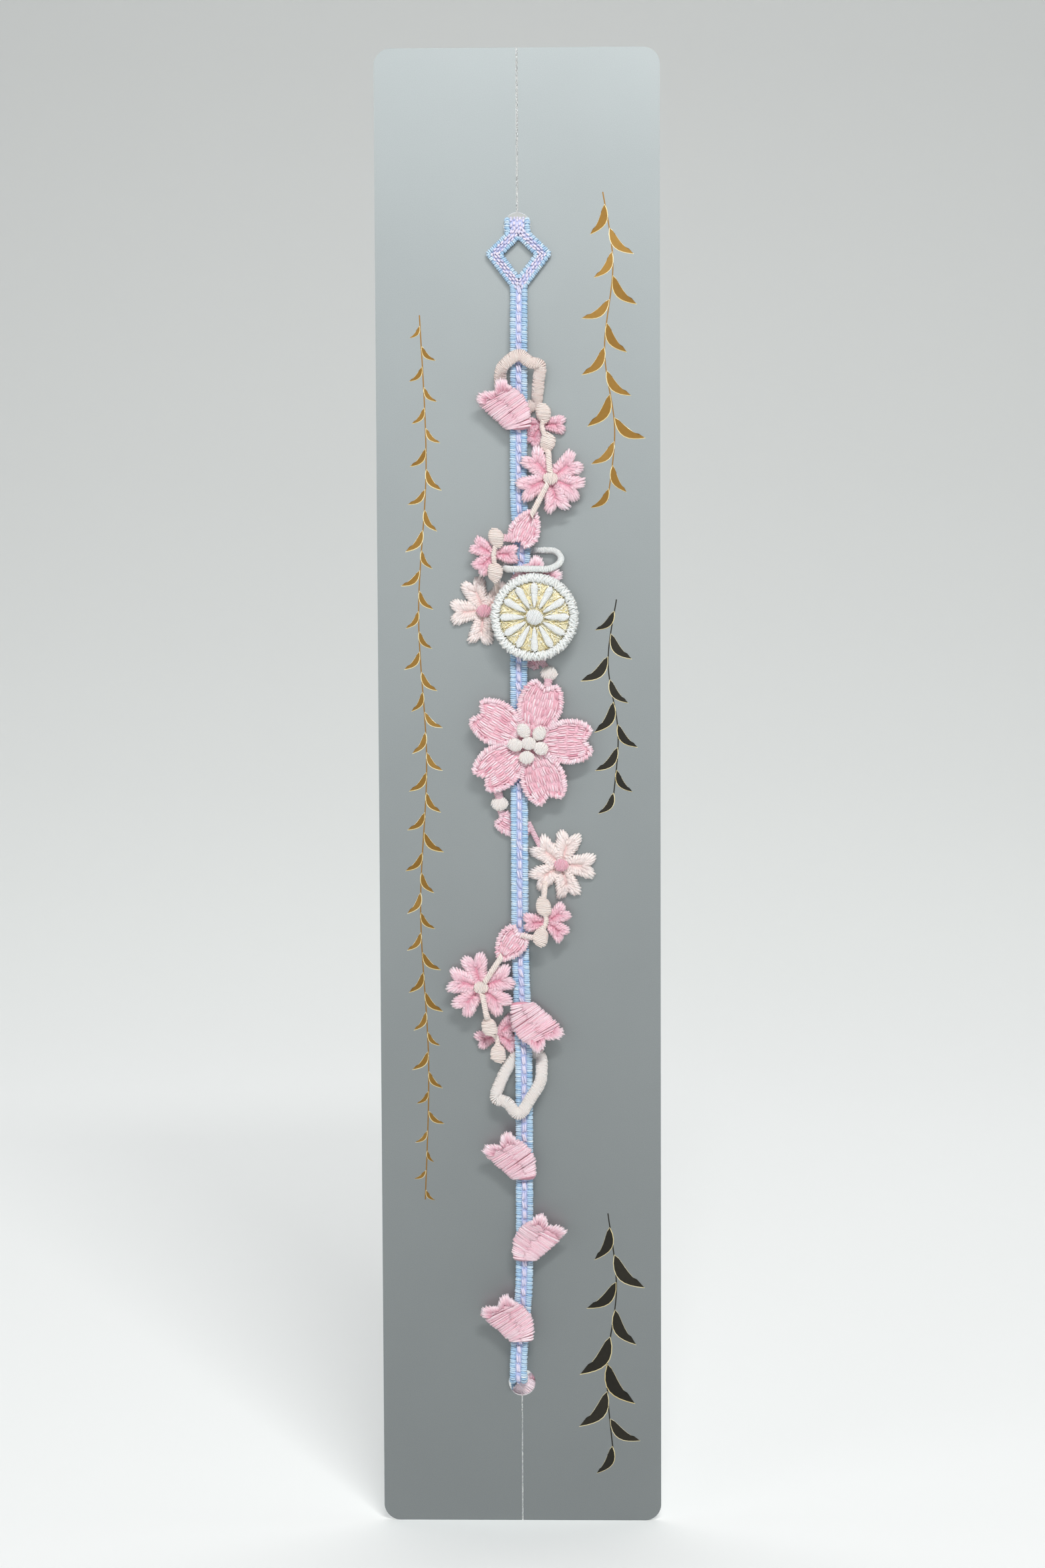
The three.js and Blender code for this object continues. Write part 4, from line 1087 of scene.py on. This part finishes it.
def wound_bud(lace, x, y, z, length, width, degrees, egg=0.0, pitch=0.21, slant=0.06, rise=LACE_THICK / 2,
              middle=0.6):
    """A bud wound with thread across its length: turns whose half width follows an egg, the square root of
    one less the square of the place along it, fuller towards one end, over a filling of the same form."""
    angle = np.radians(degrees)
    axis = np.array([-np.sin(angle), np.cos(angle), 0.0])
    count = max(4, int(round(length / pitch)))
    place = np.linspace(-1, 1, count) * (1 - 0.35 / count)
    girth = np.sqrt(1 - (place * 0.94) ** 2) * (1 + egg * place)
    girth = girth * (1 + lace.rng.normal(0, 0.03, count))
    middles = np.array([x, y, z]) + axis * (place * length / 2)[:, None]
    along = np.broadcast_to(axis, middles.shape)
    side = np.cross(Z_AXIS, along)
    lace.wraps(
        middles, along, side, girth * (width / 2 - 0.04), girth * rise, pitch * 0.68, 0.05,
        slant + lace.rng.normal(0, 0.04, count), lace.tone(count, middle, 0.05), 12
    )
    place = np.linspace(-0.95, 0.95, 7)
    inner = np.sqrt(1 - place**2)
    core = np.array([x, y, z]) + axis * (place * length / 2)[:, None]
    lace.threads(core[None], side[0], inner[None] * width * 0.49, inner[None] * rise, 0.45, sides=10)


def wound_cord(lace, route, width, rise, pitch, thread, slant, relief=0.08, middle=0.6):
    """Thread wound round a cord: a turn at each station, square to the route in the card's plane, over a
    filling."""
    lengths = route.stations(pitch)
    along = route.heading(lengths, 0.3)
    side = beside(along, True)
    count = len(lengths)
    wide = width * (1 + lace.rng.normal(0, 0.035, count))
    lace.wraps(
        route.at(lengths), along, side, wide, rise, thread, relief, slant + lace.rng.normal(0, 0.03, count),
        lace.tone(count, middle, 0.045), 11
    )
    lengths = route.stations(0.6)
    line, filling = route.at(lengths), beside(route.heading(lengths, 0.3), True)
    lace.threads(line[None], filling[None], width * 0.98, rise * 0.98, 0.45, sides=10, closed=route.closed)


def garland_flower(name, seed, finish, slot, x, dy, petal, angles, fill=None, **form):
    """Petals of one form round a spot, at a height from the garland's middle, and a wound filling on them."""
    lace = Lace(seed)
    middle = np.array([x, GARLAND_Y + dy])
    for degrees in angles:
        petal(lace, middle, degrees, **form)
    if fill is not None:
        wound_bud(lace, *middle, **fill)
    lace.piece(name + "_lace", [finish], "garland")


def garland_bud(name, seed, finish, slot, x, dy, z, **form):
    """A wound bud at a height from the garland's middle."""
    lace = Lace(seed)
    wound_bud(lace, x, GARLAND_Y + dy, z, **form)
    lace.piece(name + "_lace", [finish], "garland")


def cord_piece(name, seed, finish, body, slot, route, nodes=None, **form):
    """A wound cord along a route."""
    lace = Lace(seed)
    wound_cord(lace, route, **form)
    lace.piece(name, [finish], body, nodes)


# Forms of petals
SMALL = dict(reach=4.75, width=3.5, notch=0.8)
FLORET = dict(reach=3.3, width=2.6, notch=0.25, deep=0.1, pale=0.74)
LARGE = dict(reach=8.9, width=6.3, notch=0.9)
LEAF = dict(reach=5.4, width=4.3, notch=0.6, edge_width=0.75, rows=11)
HIDDEN = dict(reach=5.3, width=3.2, notch=0.35, edge_width=0.7, rows=9)
# Forms of what is wound as a bud, and how far fillings and centres sit above a flower's lower side
BUD = dict(length=2.6, width=2.2, slant=0.14)
BEAD = dict(length=2.2, width=2.2, degrees=70.0, pitch=0.16, middle=0.8)
KNOT = dict(length=1.95, width=1.95, pitch=0.16, middle=0.85)
CENTRE = dict(length=1.85, width=1.85, degrees=75.0, pitch=0.19, middle=0.62)
BLOSSOM_FILL = dict(length=2.0, width=2.0, degrees=30.0, rise=0.4, middle=0.3)
FLORET_FILL = dict(length=1.5, width=1.5, degrees=20.0, rise=0.4, middle=0.35)
LARGE_FILL = dict(length=3.6, width=3.6, degrees=10.0, rise=0.36, middle=0.3)
FILL_UP, LARGE_FILL_UP, CENTRE_UP = 0.45, 0.4, 1.32
# Forms of cords
STEM = dict(width=0.36, rise=0.34, pitch=0.3, thread=0.17, slant=0.24)
LOOP = dict(width=0.84, rise=0.46, pitch=0.18, thread=0.14, slant=0.12, relief=0.03, middle=0.78)
MEDALLION_CORD = dict(width=0.43, rise=0.4, pitch=0.22, thread=0.14, slant=0.12, relief=0.06)
LINK = dict(rise=0.26, pitch=0.24, thread=0.14, slant=0.1)

# Name, x and height from the garland's middle, then what sets the layer, and directions in degrees. Buds end
# with how much fuller their upper end is

BLOSSOMS = [
    ("blossom_1", 4.6, 37.2, OVER, (35, 131, 204, 283, 337)),
    ("blossom_2", -5.5, -34.7, OVER, (21, 105, 166, 228, 318)),
    ("pale_blossom_1", -4.9, 18.6, UNDER, (40, 113, 183, 262, 330)),
    ("pale_blossom_2", 5.9, -17.5, UNDER, (-3, 74, 140, 213, 284)),
]
FLORETS = [
    ("floret_1", 3.3, 44.7, UNDER, (0, 180, 239)),
    ("floret_2", -3.4, 26.6, OVER, (0, 152, 225)),
    ("floret_3", 3.9, -25.4, OVER, (33, 183, 320)),
    ("floret_4", -3.2, -41.7, UNDER, (38, 203, 324)),
]
BUDS = [
    ("bud_1", 3.6, 46.3, UNDER_BUD_MID, 5, 0.15),
    ("bud_2", 4.2, 42.1, OVER_MID, -15, 0.3),
    ("bud_3", -3.0, 28.9, OVER_BUD_MID, 10, 0.1),
    ("bud_4", -3.2, 24.0, OVER_BUD_MID, -5, 0.3),
    ("bud_5", 3.4, -23.1, OVER_BUD_MID, 10, -0.2),
    ("bud_6", 3.0, -27.4, OVER_BUD_MID, -15, -0.3),
    ("bud_7", -4.4, -40.4, OVER_MID, 15, -0.2),
    ("bud_8", -3.2, -44.4, UNDER_BUD_MID, 0, -0.3),
]
HIDDEN_BUDS = [("hidden_bud_1", -0.5, 14.7, -46), ("hidden_bud_2", 1.5, -13.2, 153)]
LEAVES = [("leaf_1", 2.3, 32.8, 245), ("leaf_2", -3.0, -30.9, 54)]
BEADS = [("bead_1", 4.25, 9.7), ("bead_2", -2.8, -8.7)]
KNOTS = [(-0.8, 1.8, 20), (1.4, 1.4, -50), (-2.0, -0.2, 60), (-0.1, 0.0, 75), (1.6, -0.7, 55), (-0.4, -2.0, 80)]
LARGE_X = 1.5
LARGE_ANGLES = (2, 74, 149, 218, 290)

for number, (name, x, dy, bottom, angles) in enumerate(BLOSSOMS):
    pale = name.startswith("pale")
    finish, slot, deep = (PALE, "pale_thread", 0.34) if pale else (PINK, "pink_thread", 0.22)
    fill = BLOSSOM_FILL | {"z": bottom + FILL_UP}
    form = SMALL | {"bottom": bottom, "deep": deep}
    garland_flower(name, 40 + number, finish, slot, x, dy, feather, angles, fill, **form)
    finish, slot = (ROSE, "pink_thread") if pale else (CREAM, "cream_thread")
    garland_bud(name + "_centre", 50 + number, finish, slot, x, dy, bottom + CENTRE_UP, **CENTRE)

for number, (name, x, dy, bottom, angles) in enumerate(FLORETS):
    fill = FLORET_FILL | {"z": bottom + FILL_UP}
    garland_flower(
        name, 60 + number, PINK, "pink_thread", x, dy, feather, angles, fill, bottom=bottom, **FLORET
    )

for number, (name, x, dy, z, degrees, egg) in enumerate(BUDS):
    garland_bud(name, 70 + number, CREAM, "cream_thread", x, dy, z, degrees=degrees, egg=egg, **BUD)

for number, (name, x, dy) in enumerate(BEADS):
    garland_bud(name, 80 + number, SHELL, "cream_thread", x, dy, UNDER_BUD_MID, **BEAD)

for seed, leaves, form in ((84, HIDDEN_BUDS, HIDDEN | {"bottom": UNDER}), (88, LEAVES, LEAF | {"bottom": OVER})):
    for number, (name, x, dy, degrees) in enumerate(leaves):
        garland_flower(name, seed + number, PINK, "pink_thread", x, dy, corded, [degrees], **form)

fill = LARGE_FILL | {"z": OVER + LARGE_FILL_UP}
garland_flower(
    "large_blossom", 90, PINK, "pink_thread", LARGE_X, 0, corded, LARGE_ANGLES, fill, bottom=OVER, **LARGE
)
for number, (x, dy, degrees) in enumerate(KNOTS):
    place = (LARGE_X + x, dy, OVER_BUD_MID)
    garland_bud(f"knot_{number + 1}", 91 + number, SHELL, "cream_thread", *place, degrees=degrees, **KNOT)

# Stems: from edge to edge between two round pieces, each with its radius, climbing in the first millimetre

BLOSSOM_CENTRE_Z = OVER + CENTRE_UP
STEMS = [
    ("stem_1", (4.2, 42.1, OVER_MID), 1.15, (4.6, 37.2, BLOSSOM_CENTRE_Z), 0.85),
    ("stem_2", (2.3, 32.8, OVER_BUD_MID), -0.9, (4.6, 37.2, BLOSSOM_CENTRE_Z), 0.85),
    ("stem_3", (-3.0, -30.9, OVER_BUD_MID), -0.9, (-5.5, -34.7, BLOSSOM_CENTRE_Z), 0.85),
    ("stem_4", (-4.4, -40.4, OVER_MID), 1.15, (-5.5, -34.7, BLOSSOM_CENTRE_Z), 0.85),
]
for number, (name, start, start_radius, end, end_radius) in enumerate(STEMS):
    a, b = np.array(start), np.array(end)
    flat = unit((b - a) * [1, 1, 0])
    a, b = a + flat * start_radius, b - flat * end_radius
    bend = np.array([*(a + flat)[:2], b[2]])
    route = Route(smooth([a, bend, b]) + [0, GARLAND_Y, 0])
    cord_piece(name + "_lace", 100 + number, CREAM, "garland", "cream_thread", route, **STEM)

# Loops at the garland's ends, round the band

UPPER_LOOP = [
    (0, 54.4, 2.95), (1.55, 53.4, 2.95), (3.0, 52.9, 2.75), (2.8, 51, 2.0), (2.6, 49.1, 1.2), (2.3, 47.7, 0.65),
    (0.6, 47, 0.65), (-1, 47.7, 0.65), (-2.3, 49.4, 0.95), (-2.6, 51.2, 1.8), (-2.1, 52.9, 2.95),
]
LOWER_LOOP = [
    (-0.7, -53, 2.95), (1, -50.6, 2.95), (2.3, -48.4, 2.75), (2.5, -46.6, 1.8), (2.3, -45, 0.85), (0.5, -44, 0.65),
    (-1.2, -45.2, 0.65), (-2.4, -46.7, 0.95), (-3.5, -48.9, 1.8), (-4.0, -50.7, 2.65), (-2.4, -51.3, 2.95),
]
for name, points, finish, seed in (("upper_loop", UPPER_LOOP, PEACH, 110), ("lower_loop", LOWER_LOOP, SHELL, 111)):
    shift = [float(band_x(GARLAND_Y + points[0][1])), GARLAND_Y, 0]
    route = Route(smooth(np.array(points) + shift, True, 10), True)
    cord_piece(name + "_lace", seed, finish, "garland", "cream_thread", route, **LOOP)

# Medallion and its loop

MEDALLION = np.array([2.3, 130.7])
MEDALLION_LOOP = [
    (0.3, 137.45, 4), (2.3, 137.45, 4), (4.3, 137.45, 4), (5.6, 138.05, 3), (6, 138.85, 2), (5.3, 139.75, 0.95),
    (4, 139.95, 0.65), (0.47, 139.85, 0.65), (-0.78, 139.05, 0.65), (-1.73, 137.85, 1.5), (-1.63, 137.45, 2.75),
    (-0.78, 137.4, 3.8),
]
route = Route(smooth(MEDALLION_LOOP, True, 10), True)
cord_piece("medallion_loop_lace", 120, WHITE, "card_and_band", "white_thread", route, **MEDALLION_CORD)


def around(radius, angle, height):
    """Points round the medallion's middle at a radius, an angle and a height."""
    x, y = MEDALLION[0] + radius * np.cos(angle), MEDALLION[1] + radius * np.sin(angle)
    return np.stack(np.broadcast_arrays(x, y, height), axis=-1)


RIM_SCALLOPS = 27
RIM_Z = 4.1
RIM_MIDDLE, RIM_INSIDE = 5.6, 5.0
RIM_STEPS = np.array([0, 0.14, 0.36, 0.62, 0.86, 1.0])
RIM_ARCH = np.array([0.16, 0.38, 0.48, 0.48, 0.28, -0.12])
BACK_RADII = np.array([5.05, 5.3, 5.65, 5.95, 6.08])
BACK_ARCH = np.array([0.2, 0.46, 0.52, 0.34, 0.05])
BACK_STITCHES = 74


def medallion_rim():
    """Rounds of stitches over a round cord: each leans round the rim as it goes from the inside over the top
    to the outside, the second round leans the other way, and the ends stand out in scallops, a sine of the
    angle. A plain round covers the back."""
    lace = Lace(121)
    circle = Route(around(RIM_MIDDLE, evenly_round(90), RIM_Z), True)
    line = circle.at(circle.stations(FILL_PITCH))
    lace.threads(line[None], Z_AXIS, 0.4, 0.4, 0.4, 0, 8, closed=True)
    for count, lean, lift, reach in ((108, 0.04, 0.0, 1.0), (54, -0.06, 0.07, 1.06)):
        angle = (np.arange(count) + lace.rng.normal(0, 0.12, count)) * 2 * np.pi / count
        inner = RIM_INSIDE - lace.rng.uniform(0, 0.2, count)
        scallops = 0.09 * np.sin(angle * RIM_SCALLOPS)
        outer = RIM_INSIDE + 1.08 * reach + lace.rng.uniform(-0.12, 0.14, count) + scallops
        radius = inner[:, None] + (outer - inner)[:, None] * RIM_STEPS
        paths = around(radius, angle[:, None] + lean * (RIM_STEPS - 0.5) * 2, RIM_Z + lift + RIM_ARCH)
        lace.stitches(paths, 0.17, 0.1, lace.tone(count, 0.62, 0.1), ends=FEATHER_ENDS)
    back = (np.arange(BACK_STITCHES) + 0.5) * 2 * np.pi / BACK_STITCHES
    paths = around(BACK_RADII[None], back[:, None], RIM_Z - BACK_ARCH)
    lace.stitches(paths, 0.22, 0.13, lace.tone(BACK_STITCHES, 0.55, 0.1))
    lace.piece("medallion_rim_lace", [WHITE], "medallion")


WEAVE_FRONT, WEAVE_BACK = 4.14, 3.63
WEAVE_THREADS, WEAVE_STEPS = 26, 9
RAYS = 12
GROUND_RINGS = [(4.5, 3.62), (5.25, 3.75), (5.25, 4.02), (4.5, 4.1)]  # radius and height
ZIGZAGS = [(0.0, 12, 1.5, 4.7), (0.13, 24, 3.1, 4.9), (0.05, 12, 1.2, 3.2)]  # start, waves, both radii
LOOSE_STITCHES = 260
LOOSE_STEPS = np.array([-0.16, -0.06, 0.06, 0.16])
LOOSE_ENDS = [0.4, 1, 1, 0.4]


def woven_layer(lace, level, degrees):
    """Straight gold threads side by side across the disc, each one's length the chord of a circle at its
    offset, turned by an angle and waving a little up and down."""
    offset = np.linspace(-4.7, 4.7, WEAVE_THREADS)
    half = np.sqrt(RIM_INSIDE**2 - offset**2)
    share = np.linspace(-1, 1, WEAVE_STEPS)
    local = np.stack([half[:, None] * share, np.repeat(offset[:, None], WEAVE_STEPS, 1)], axis=-1)
    wave = np.cos(np.arange(WEAVE_STEPS) * np.pi + np.arange(WEAVE_THREADS)[:, None] * np.pi)
    paths = raised(MEDALLION + turned(local, degrees + 90), level + 0.05 * wave)
    lace.stitches(paths, 0.075, 0.06, lace.tone(WEAVE_THREADS, 0.68, 0.2), sides=4)


def medallion_ground():
    """A gold ground: a disc of fine crossing threads on both faces, and bright zigzag threads between the
    rays, whose radius swings between an inner and an outer ring as they go round, with short loose stitches
    of gold and of white strewn over them. On the back, plain white stitches show where the rays are sewn
    through."""
    lace = Lace(122)
    ring = evenly_round(48)
    disc = np.stack([around(radius, ring, height) for radius, height in GROUND_RINGS])
    lace.loft(disc[None], 0.75)
    for degrees in (12, 72, 132):
        woven_layer(lace, WEAVE_FRONT, degrees)
    for start, waves, inner, outer in ZIGZAGS:
        angle = evenly_round(waves * 8)
        swing = np.abs(((angle * waves / np.pi + start * waves) % 2) - 1)
        radius = inner + (outer - inner) * swing + lace.rng.normal(0, 0.05, len(angle))
        path = around(radius, angle, 4.28 + 0.05 * np.cos(angle * waves * 3))
        tone = lace.rng.uniform(0.4, 1.0, (1, len(angle)))
        lace.threads(path[None], Z_AXIS, 0.085, 0.085, tone, closed=True)
    count = LOOSE_STITCHES
    angle, heading = lace.rng.uniform(0, 2 * np.pi, (2, count))
    spots = around(np.sqrt(lace.rng.uniform(1.2**2, 4.9**2, count)), angle, 4.33)
    paths = spots[:, None] + pointing(heading)[:, None] * LOOSE_STEPS[None, :, None]
    tone = lace.rng.uniform(0.35, 1.0, count)
    white = count // 3
    lace.stitches(paths[white:], 0.08, 0.08, tone[white:], 0, 4, LOOSE_ENDS)
    lace.stitches(paths[:white], 0.09, 0.09, tone[:white], 1, 4, LOOSE_ENDS)
    for degrees in (42, 132):
        woven_layer(lace, WEAVE_BACK, degrees)
    angle = np.arange(RAYS) * np.pi / 6 + np.pi / 12
    rays = around(np.linspace(1.0, 4.9, 12)[None], angle[:, None], 3.6)
    lace.stitches(rays, 0.14, 0.09, lace.tone(RAYS, 0.75, 0.1), 1, 6)
    lace.piece("medallion_ground_lace", [GOLD, WHITE], "medallion")


RAY_TURNS = 21
RAY_Z = 4.5
KNOB = dict(z=4.72, length=2.2, width=2.2, degrees=65.0, pitch=0.17, rise=0.5, middle=0.85)


def medallion_motif():
    """Twelve tapered rays wound with thread across their length, wider towards the rim and round at both
    ends, and a wound knob in the middle."""
    lace = Lace(123)
    angle = np.arange(RAYS) * np.pi / 6 + np.pi / 2
    place = np.linspace(0, 1, RAY_TURNS)
    radius = 1.5 + 3.25 * place
    half = (0.2 + 0.4 * place) * np.sqrt(np.clip(1 - (2 * place - 1) ** 4, 0.06, 1))
    middles = around(radius[None], angle[:, None], RAY_Z).reshape(-1, 3)
    along = pointing(angle).repeat(RAY_TURNS, axis=0)
    side = np.cross(Z_AXIS, along)
    half = np.tile(half, RAYS)
    wide = half * (1 + lace.rng.normal(0, 0.03, len(half)))
    lace.wraps(
        middles, along, side, wide, 0.2 + 0.24 * half, 0.12, 0.07, 0.05, lace.tone(len(half), 0.8, 0.07), 9
    )
    wound_bud(lace, *MEDALLION, **KNOB)
    lace.piece("medallion_motif_lace", [WHITE], "medallion")


medallion_rim()
medallion_ground()
medallion_motif()

# Links of thread between neighbours in the garland: name, half width, route, finish and slot

LINKS = [
    ("link_1", 0.3, [(3.6, 45.3, 1.75), (3.4, 44.4, 1.5), (3.8, 43.2, 2.5)], CREAM, "cream_thread"),
    ("link_2", 0.3, [(-3.1, 27.9, 3.8), (-3.4, 26.6, 3.7), (-3.25, 25.0, 3.8)], CREAM, "cream_thread"),
    ("link_3", 0.3, [(3.6, -24.1, 3.8), (3.8, -25.3, 3.7), (3.3, -26.4, 3.8)], CREAM, "cream_thread"),
    ("link_4", 0.3, [(-4.1, -41.4, 2.6), (-3.4, -42.2, 1.6), (-3.2, -43.4, 1.6)], CREAM, "cream_thread"),
    ("link_10", 0.35, [(3.6, -20.0, 1.0), (3.5, -21.2, 2.3), (3.4, -22.2, 3.5)], CREAM, "cream_thread"),
    ("link_11", 0.35, [(2.0, -27.6, 3.7), (1.0, -27.4, 3.5), (0.2, -27.3, 3.3)], PALE, "pale_thread"),
    ("link_12", 0.5, [(-2.0, 28.9, 3.6), (-1.2, 28.9, 3.3), (-0.6, 29.0, 3.1)], PINK, "pink_thread"),
    ("link_13", 0.35, [(-3.1, 22.9, 3.6), (-2.9, 22.0, 2.4), (-2.8, 21.2, 1.2)], CREAM, "cream_thread"),
    ("link_5", 0.55, [(3.9, 7.6, 2.6), (4.1, 8.4, 1.9), (4.2, 9.2, 1.5)], PINK, "pink_thread"),
    ("link_6", 0.4, [(4.0, 10.3, 1.3), (3.6, 10.9, 1.0), (3.1, 11.3, 0.8)], PINK, "pink_thread"),
    ("link_7", 0.55, [(-3.1, -6.6, 2.6), (-2.9, -7.5, 1.9), (-2.8, -8.2, 1.5)], PINK, "pink_thread"),
    ("link_8", 0.45, [(-2.8, -9.3, 1.4), (-2.6, -9.9, 1.0), (-2.3, -10.4, 0.8)], PINK, "pink_thread"),
    (
        "link_9", 0.35,
        [(1.2, -11.4, 0.7), (1.9, -12.9, 0.7), (2.6, -14.3, 0.7), (3.2, -15.2, 0.7)], PINK, "pink_thread",
    ),
]
for number, (name, width, points, finish, slot) in enumerate(LINKS):
    route = Route(smooth(np.array(points) + [0, GARLAND_Y, 0]))
    cord_piece(name, 130 + number, finish, "garland", slot, route, [], width=width, **LINK)


# Stage, light and camera, in metres

SWEEP_HALF = 0.42
SWEEP_FRONT = [-0.66, -0.3]
SWEEP_BACK, SWEEP_RADIUS, SWEEP_TOP = 0.35, 0.5, 1.6


def sweep():
    """Paper sweep: a level floor that turns up behind the card along a quarter of a circle and rises as a
    wall, the same at every x."""
    angle = np.linspace(-np.pi / 2, 0, 24)
    back, radius = SWEEP_BACK, SWEEP_RADIUS
    y = np.concatenate([SWEEP_FRONT, back + radius * np.cos(angle), [back + radius]])
    z = np.concatenate([[0, 0], radius + radius * np.sin(angle), [SWEEP_TOP]])
    x = np.linspace(-SWEEP_HALF, SWEEP_HALF, 9)
    grid = np.stack(np.broadcast_arrays(x[:, None], y[None], z[None]), axis=-1)
    rows, columns = grid.shape[:2]
    index = np.arange(rows * columns).reshape(rows, columns)
    faces = np.stack([index[:-1, :-1], index[1:, :-1], index[1:, 1:], index[:-1, 1:]], -1).reshape(-1, 4)
    mesh = bpy.data.meshes.new("paper_sweep")
    mesh.from_pydata(grid.reshape(-1, 3).tolist(), [], faces.tolist())
    mesh.polygons.foreach_set("use_smooth", np.ones(len(faces), bool))
    mesh.materials.append(painted_shade_sweep_finish())
    paper = add_object("paper_sweep", mesh)
    paper.visible_glossy = False


sweep()


def placing(right, up, forward, position):
    """A matrix whose columns are the directions to the right, upwards and backwards, and the position."""
    columns = np.eye(4)
    columns[:3] = np.stack([right, up, -forward, position], axis=1)
    return Matrix(columns.tolist())


def aim(position, target):
    """A placing that looks from a position to a target, as upright as it can be."""
    forward = unit(np.asarray(target, float) - np.asarray(position, float))
    right = unit(np.cross(forward, Z_AXIS))
    return placing(right, np.cross(right, forward), forward, position)


def softbox(name, position, target, width, height, watts):
    """A square-edged area lamp that faces its target."""
    lamp = bpy.data.lights.new(name, "AREA")
    lamp.shape = "RECTANGLE"
    lamp.size, lamp.size_y = width, height
    lamp.energy = watts
    box = add_object(name, lamp)
    box.matrix_world = aim(position, target)
    box.visible_camera = False


# Name, place, what it faces, width, height and watts
LAMPS = [
    ("overhead_box", (0.10, -0.55, 0.56), (0, 0, 0.1), 0.24, 0.06, 3.9),
    ("backdrop_box", (0, 0.30, 0.75), (0, 0.301, 0), 1.0, 0.3, 2.6),
    ("fill_box", (-0.60, -0.75, 0.35), (0, 0, 0.1), 0.5, 0.7, 1.0),
    ("rear_box", (0.0, 0.50, 0.62), (0, 0, 0.12), 0.5, 0.2, 0.35),
]
for lamp in LAMPS:
    softbox(*lamp)

scene.view_settings.view_transform = "Standard"


# What shines sees: from a low to a high part of the direction, from a low to a high strength
BACKWARD_SHARE = 0.3
CEILING = (-0.57, -0.03, 0.0, 2.16)
FLOOR = (-0.3, -0.7, 0.0, 1.2)
EVEN_STRENGTH = 0.24


def studio_world():
    """Even pale light all round, and a pale backdrop beyond the sweep. What shines sees a bright ceiling that
    fades to a dim edge in front, as a straight ramp on the upward part of the direction plus a share of its
    backward part, and below that edge a floor that brightens again towards straight down."""
    world = bpy.data.worlds.new("studio")
    scene.world = world
    world.use_nodes = True
    tree = world.node_tree
    link = tree.links.new
    even = tree.nodes["Background"]
    even.inputs["Color"].default_value = linear(238, 241, 244)
    even.inputs["Strength"].default_value = EVEN_STRENGTH
    place = tree.nodes.new("ShaderNodeTexCoord")
    part = add_parts(tree, place.outputs["Generated"])
    lean = add_math(tree, "MULTIPLY_ADD", part["Y"], BACKWARD_SHARE, part["Z"])
    both = add_math(tree, "ADD", add_range(tree, lean, *CEILING), add_range(tree, part["Z"], *FLOOR))
    shiny = add_node(tree, "ShaderNodeBackground", Color=linear(246, 250, 252))
    link(both, shiny.inputs["Strength"])
    backdrop = add_node(tree, "ShaderNodeBackground", Color=linear(223, 226, 225))
    rays = tree.nodes.new("ShaderNodeLightPath")
    lit = even
    for seen_by, light in (("Is Glossy Ray", shiny), ("Is Camera Ray", backdrop)):
        either = tree.nodes.new("ShaderNodeMixShader")
        link(rays.outputs[seen_by], either.inputs["Fac"])
        link(lit.outputs[0], either.inputs[1])
        link(light.outputs["Background"], either.inputs[2])
        lit = either
    link(lit.outputs["Shader"], tree.nodes["World Output"].inputs["Surface"])


studio_world()

CAMERA_AT = (0.01362, -0.50030, 0.14994)
CAMERA_PITCH, CAMERA_YAW, CAMERA_ROLL = -0.0859, -0.0264, -0.0043
CAMERA_DEGREES = 25


def photo_camera():
    """The camera that puts the card's corners where the photograph has them: it looks along +Y, turned by
    its yaw and pitch, and rolls about its own line of sight."""
    cy, sy = np.cos(CAMERA_YAW), np.sin(CAMERA_YAW)
    cp, sp = np.cos(CAMERA_PITCH), np.sin(CAMERA_PITCH)
    cr, sr = np.cos(CAMERA_ROLL), np.sin(CAMERA_ROLL)
    forward = np.array([sy * cp, cy * cp, sp])
    right = np.array([cy, -sy, 0.0])
    up = np.cross(right, forward)
    lens = bpy.data.cameras.new("photo_camera")
    lens.sensor_fit = "VERTICAL"
    lens.angle_y = np.radians(CAMERA_DEGREES)
    lens.clip_start = 0.01
    camera = add_object("photo_camera", lens)
    camera.matrix_world = placing(cr * right + sr * up, cr * up - sr * right, forward, CAMERA_AT)
    scene.camera = camera


photo_camera()
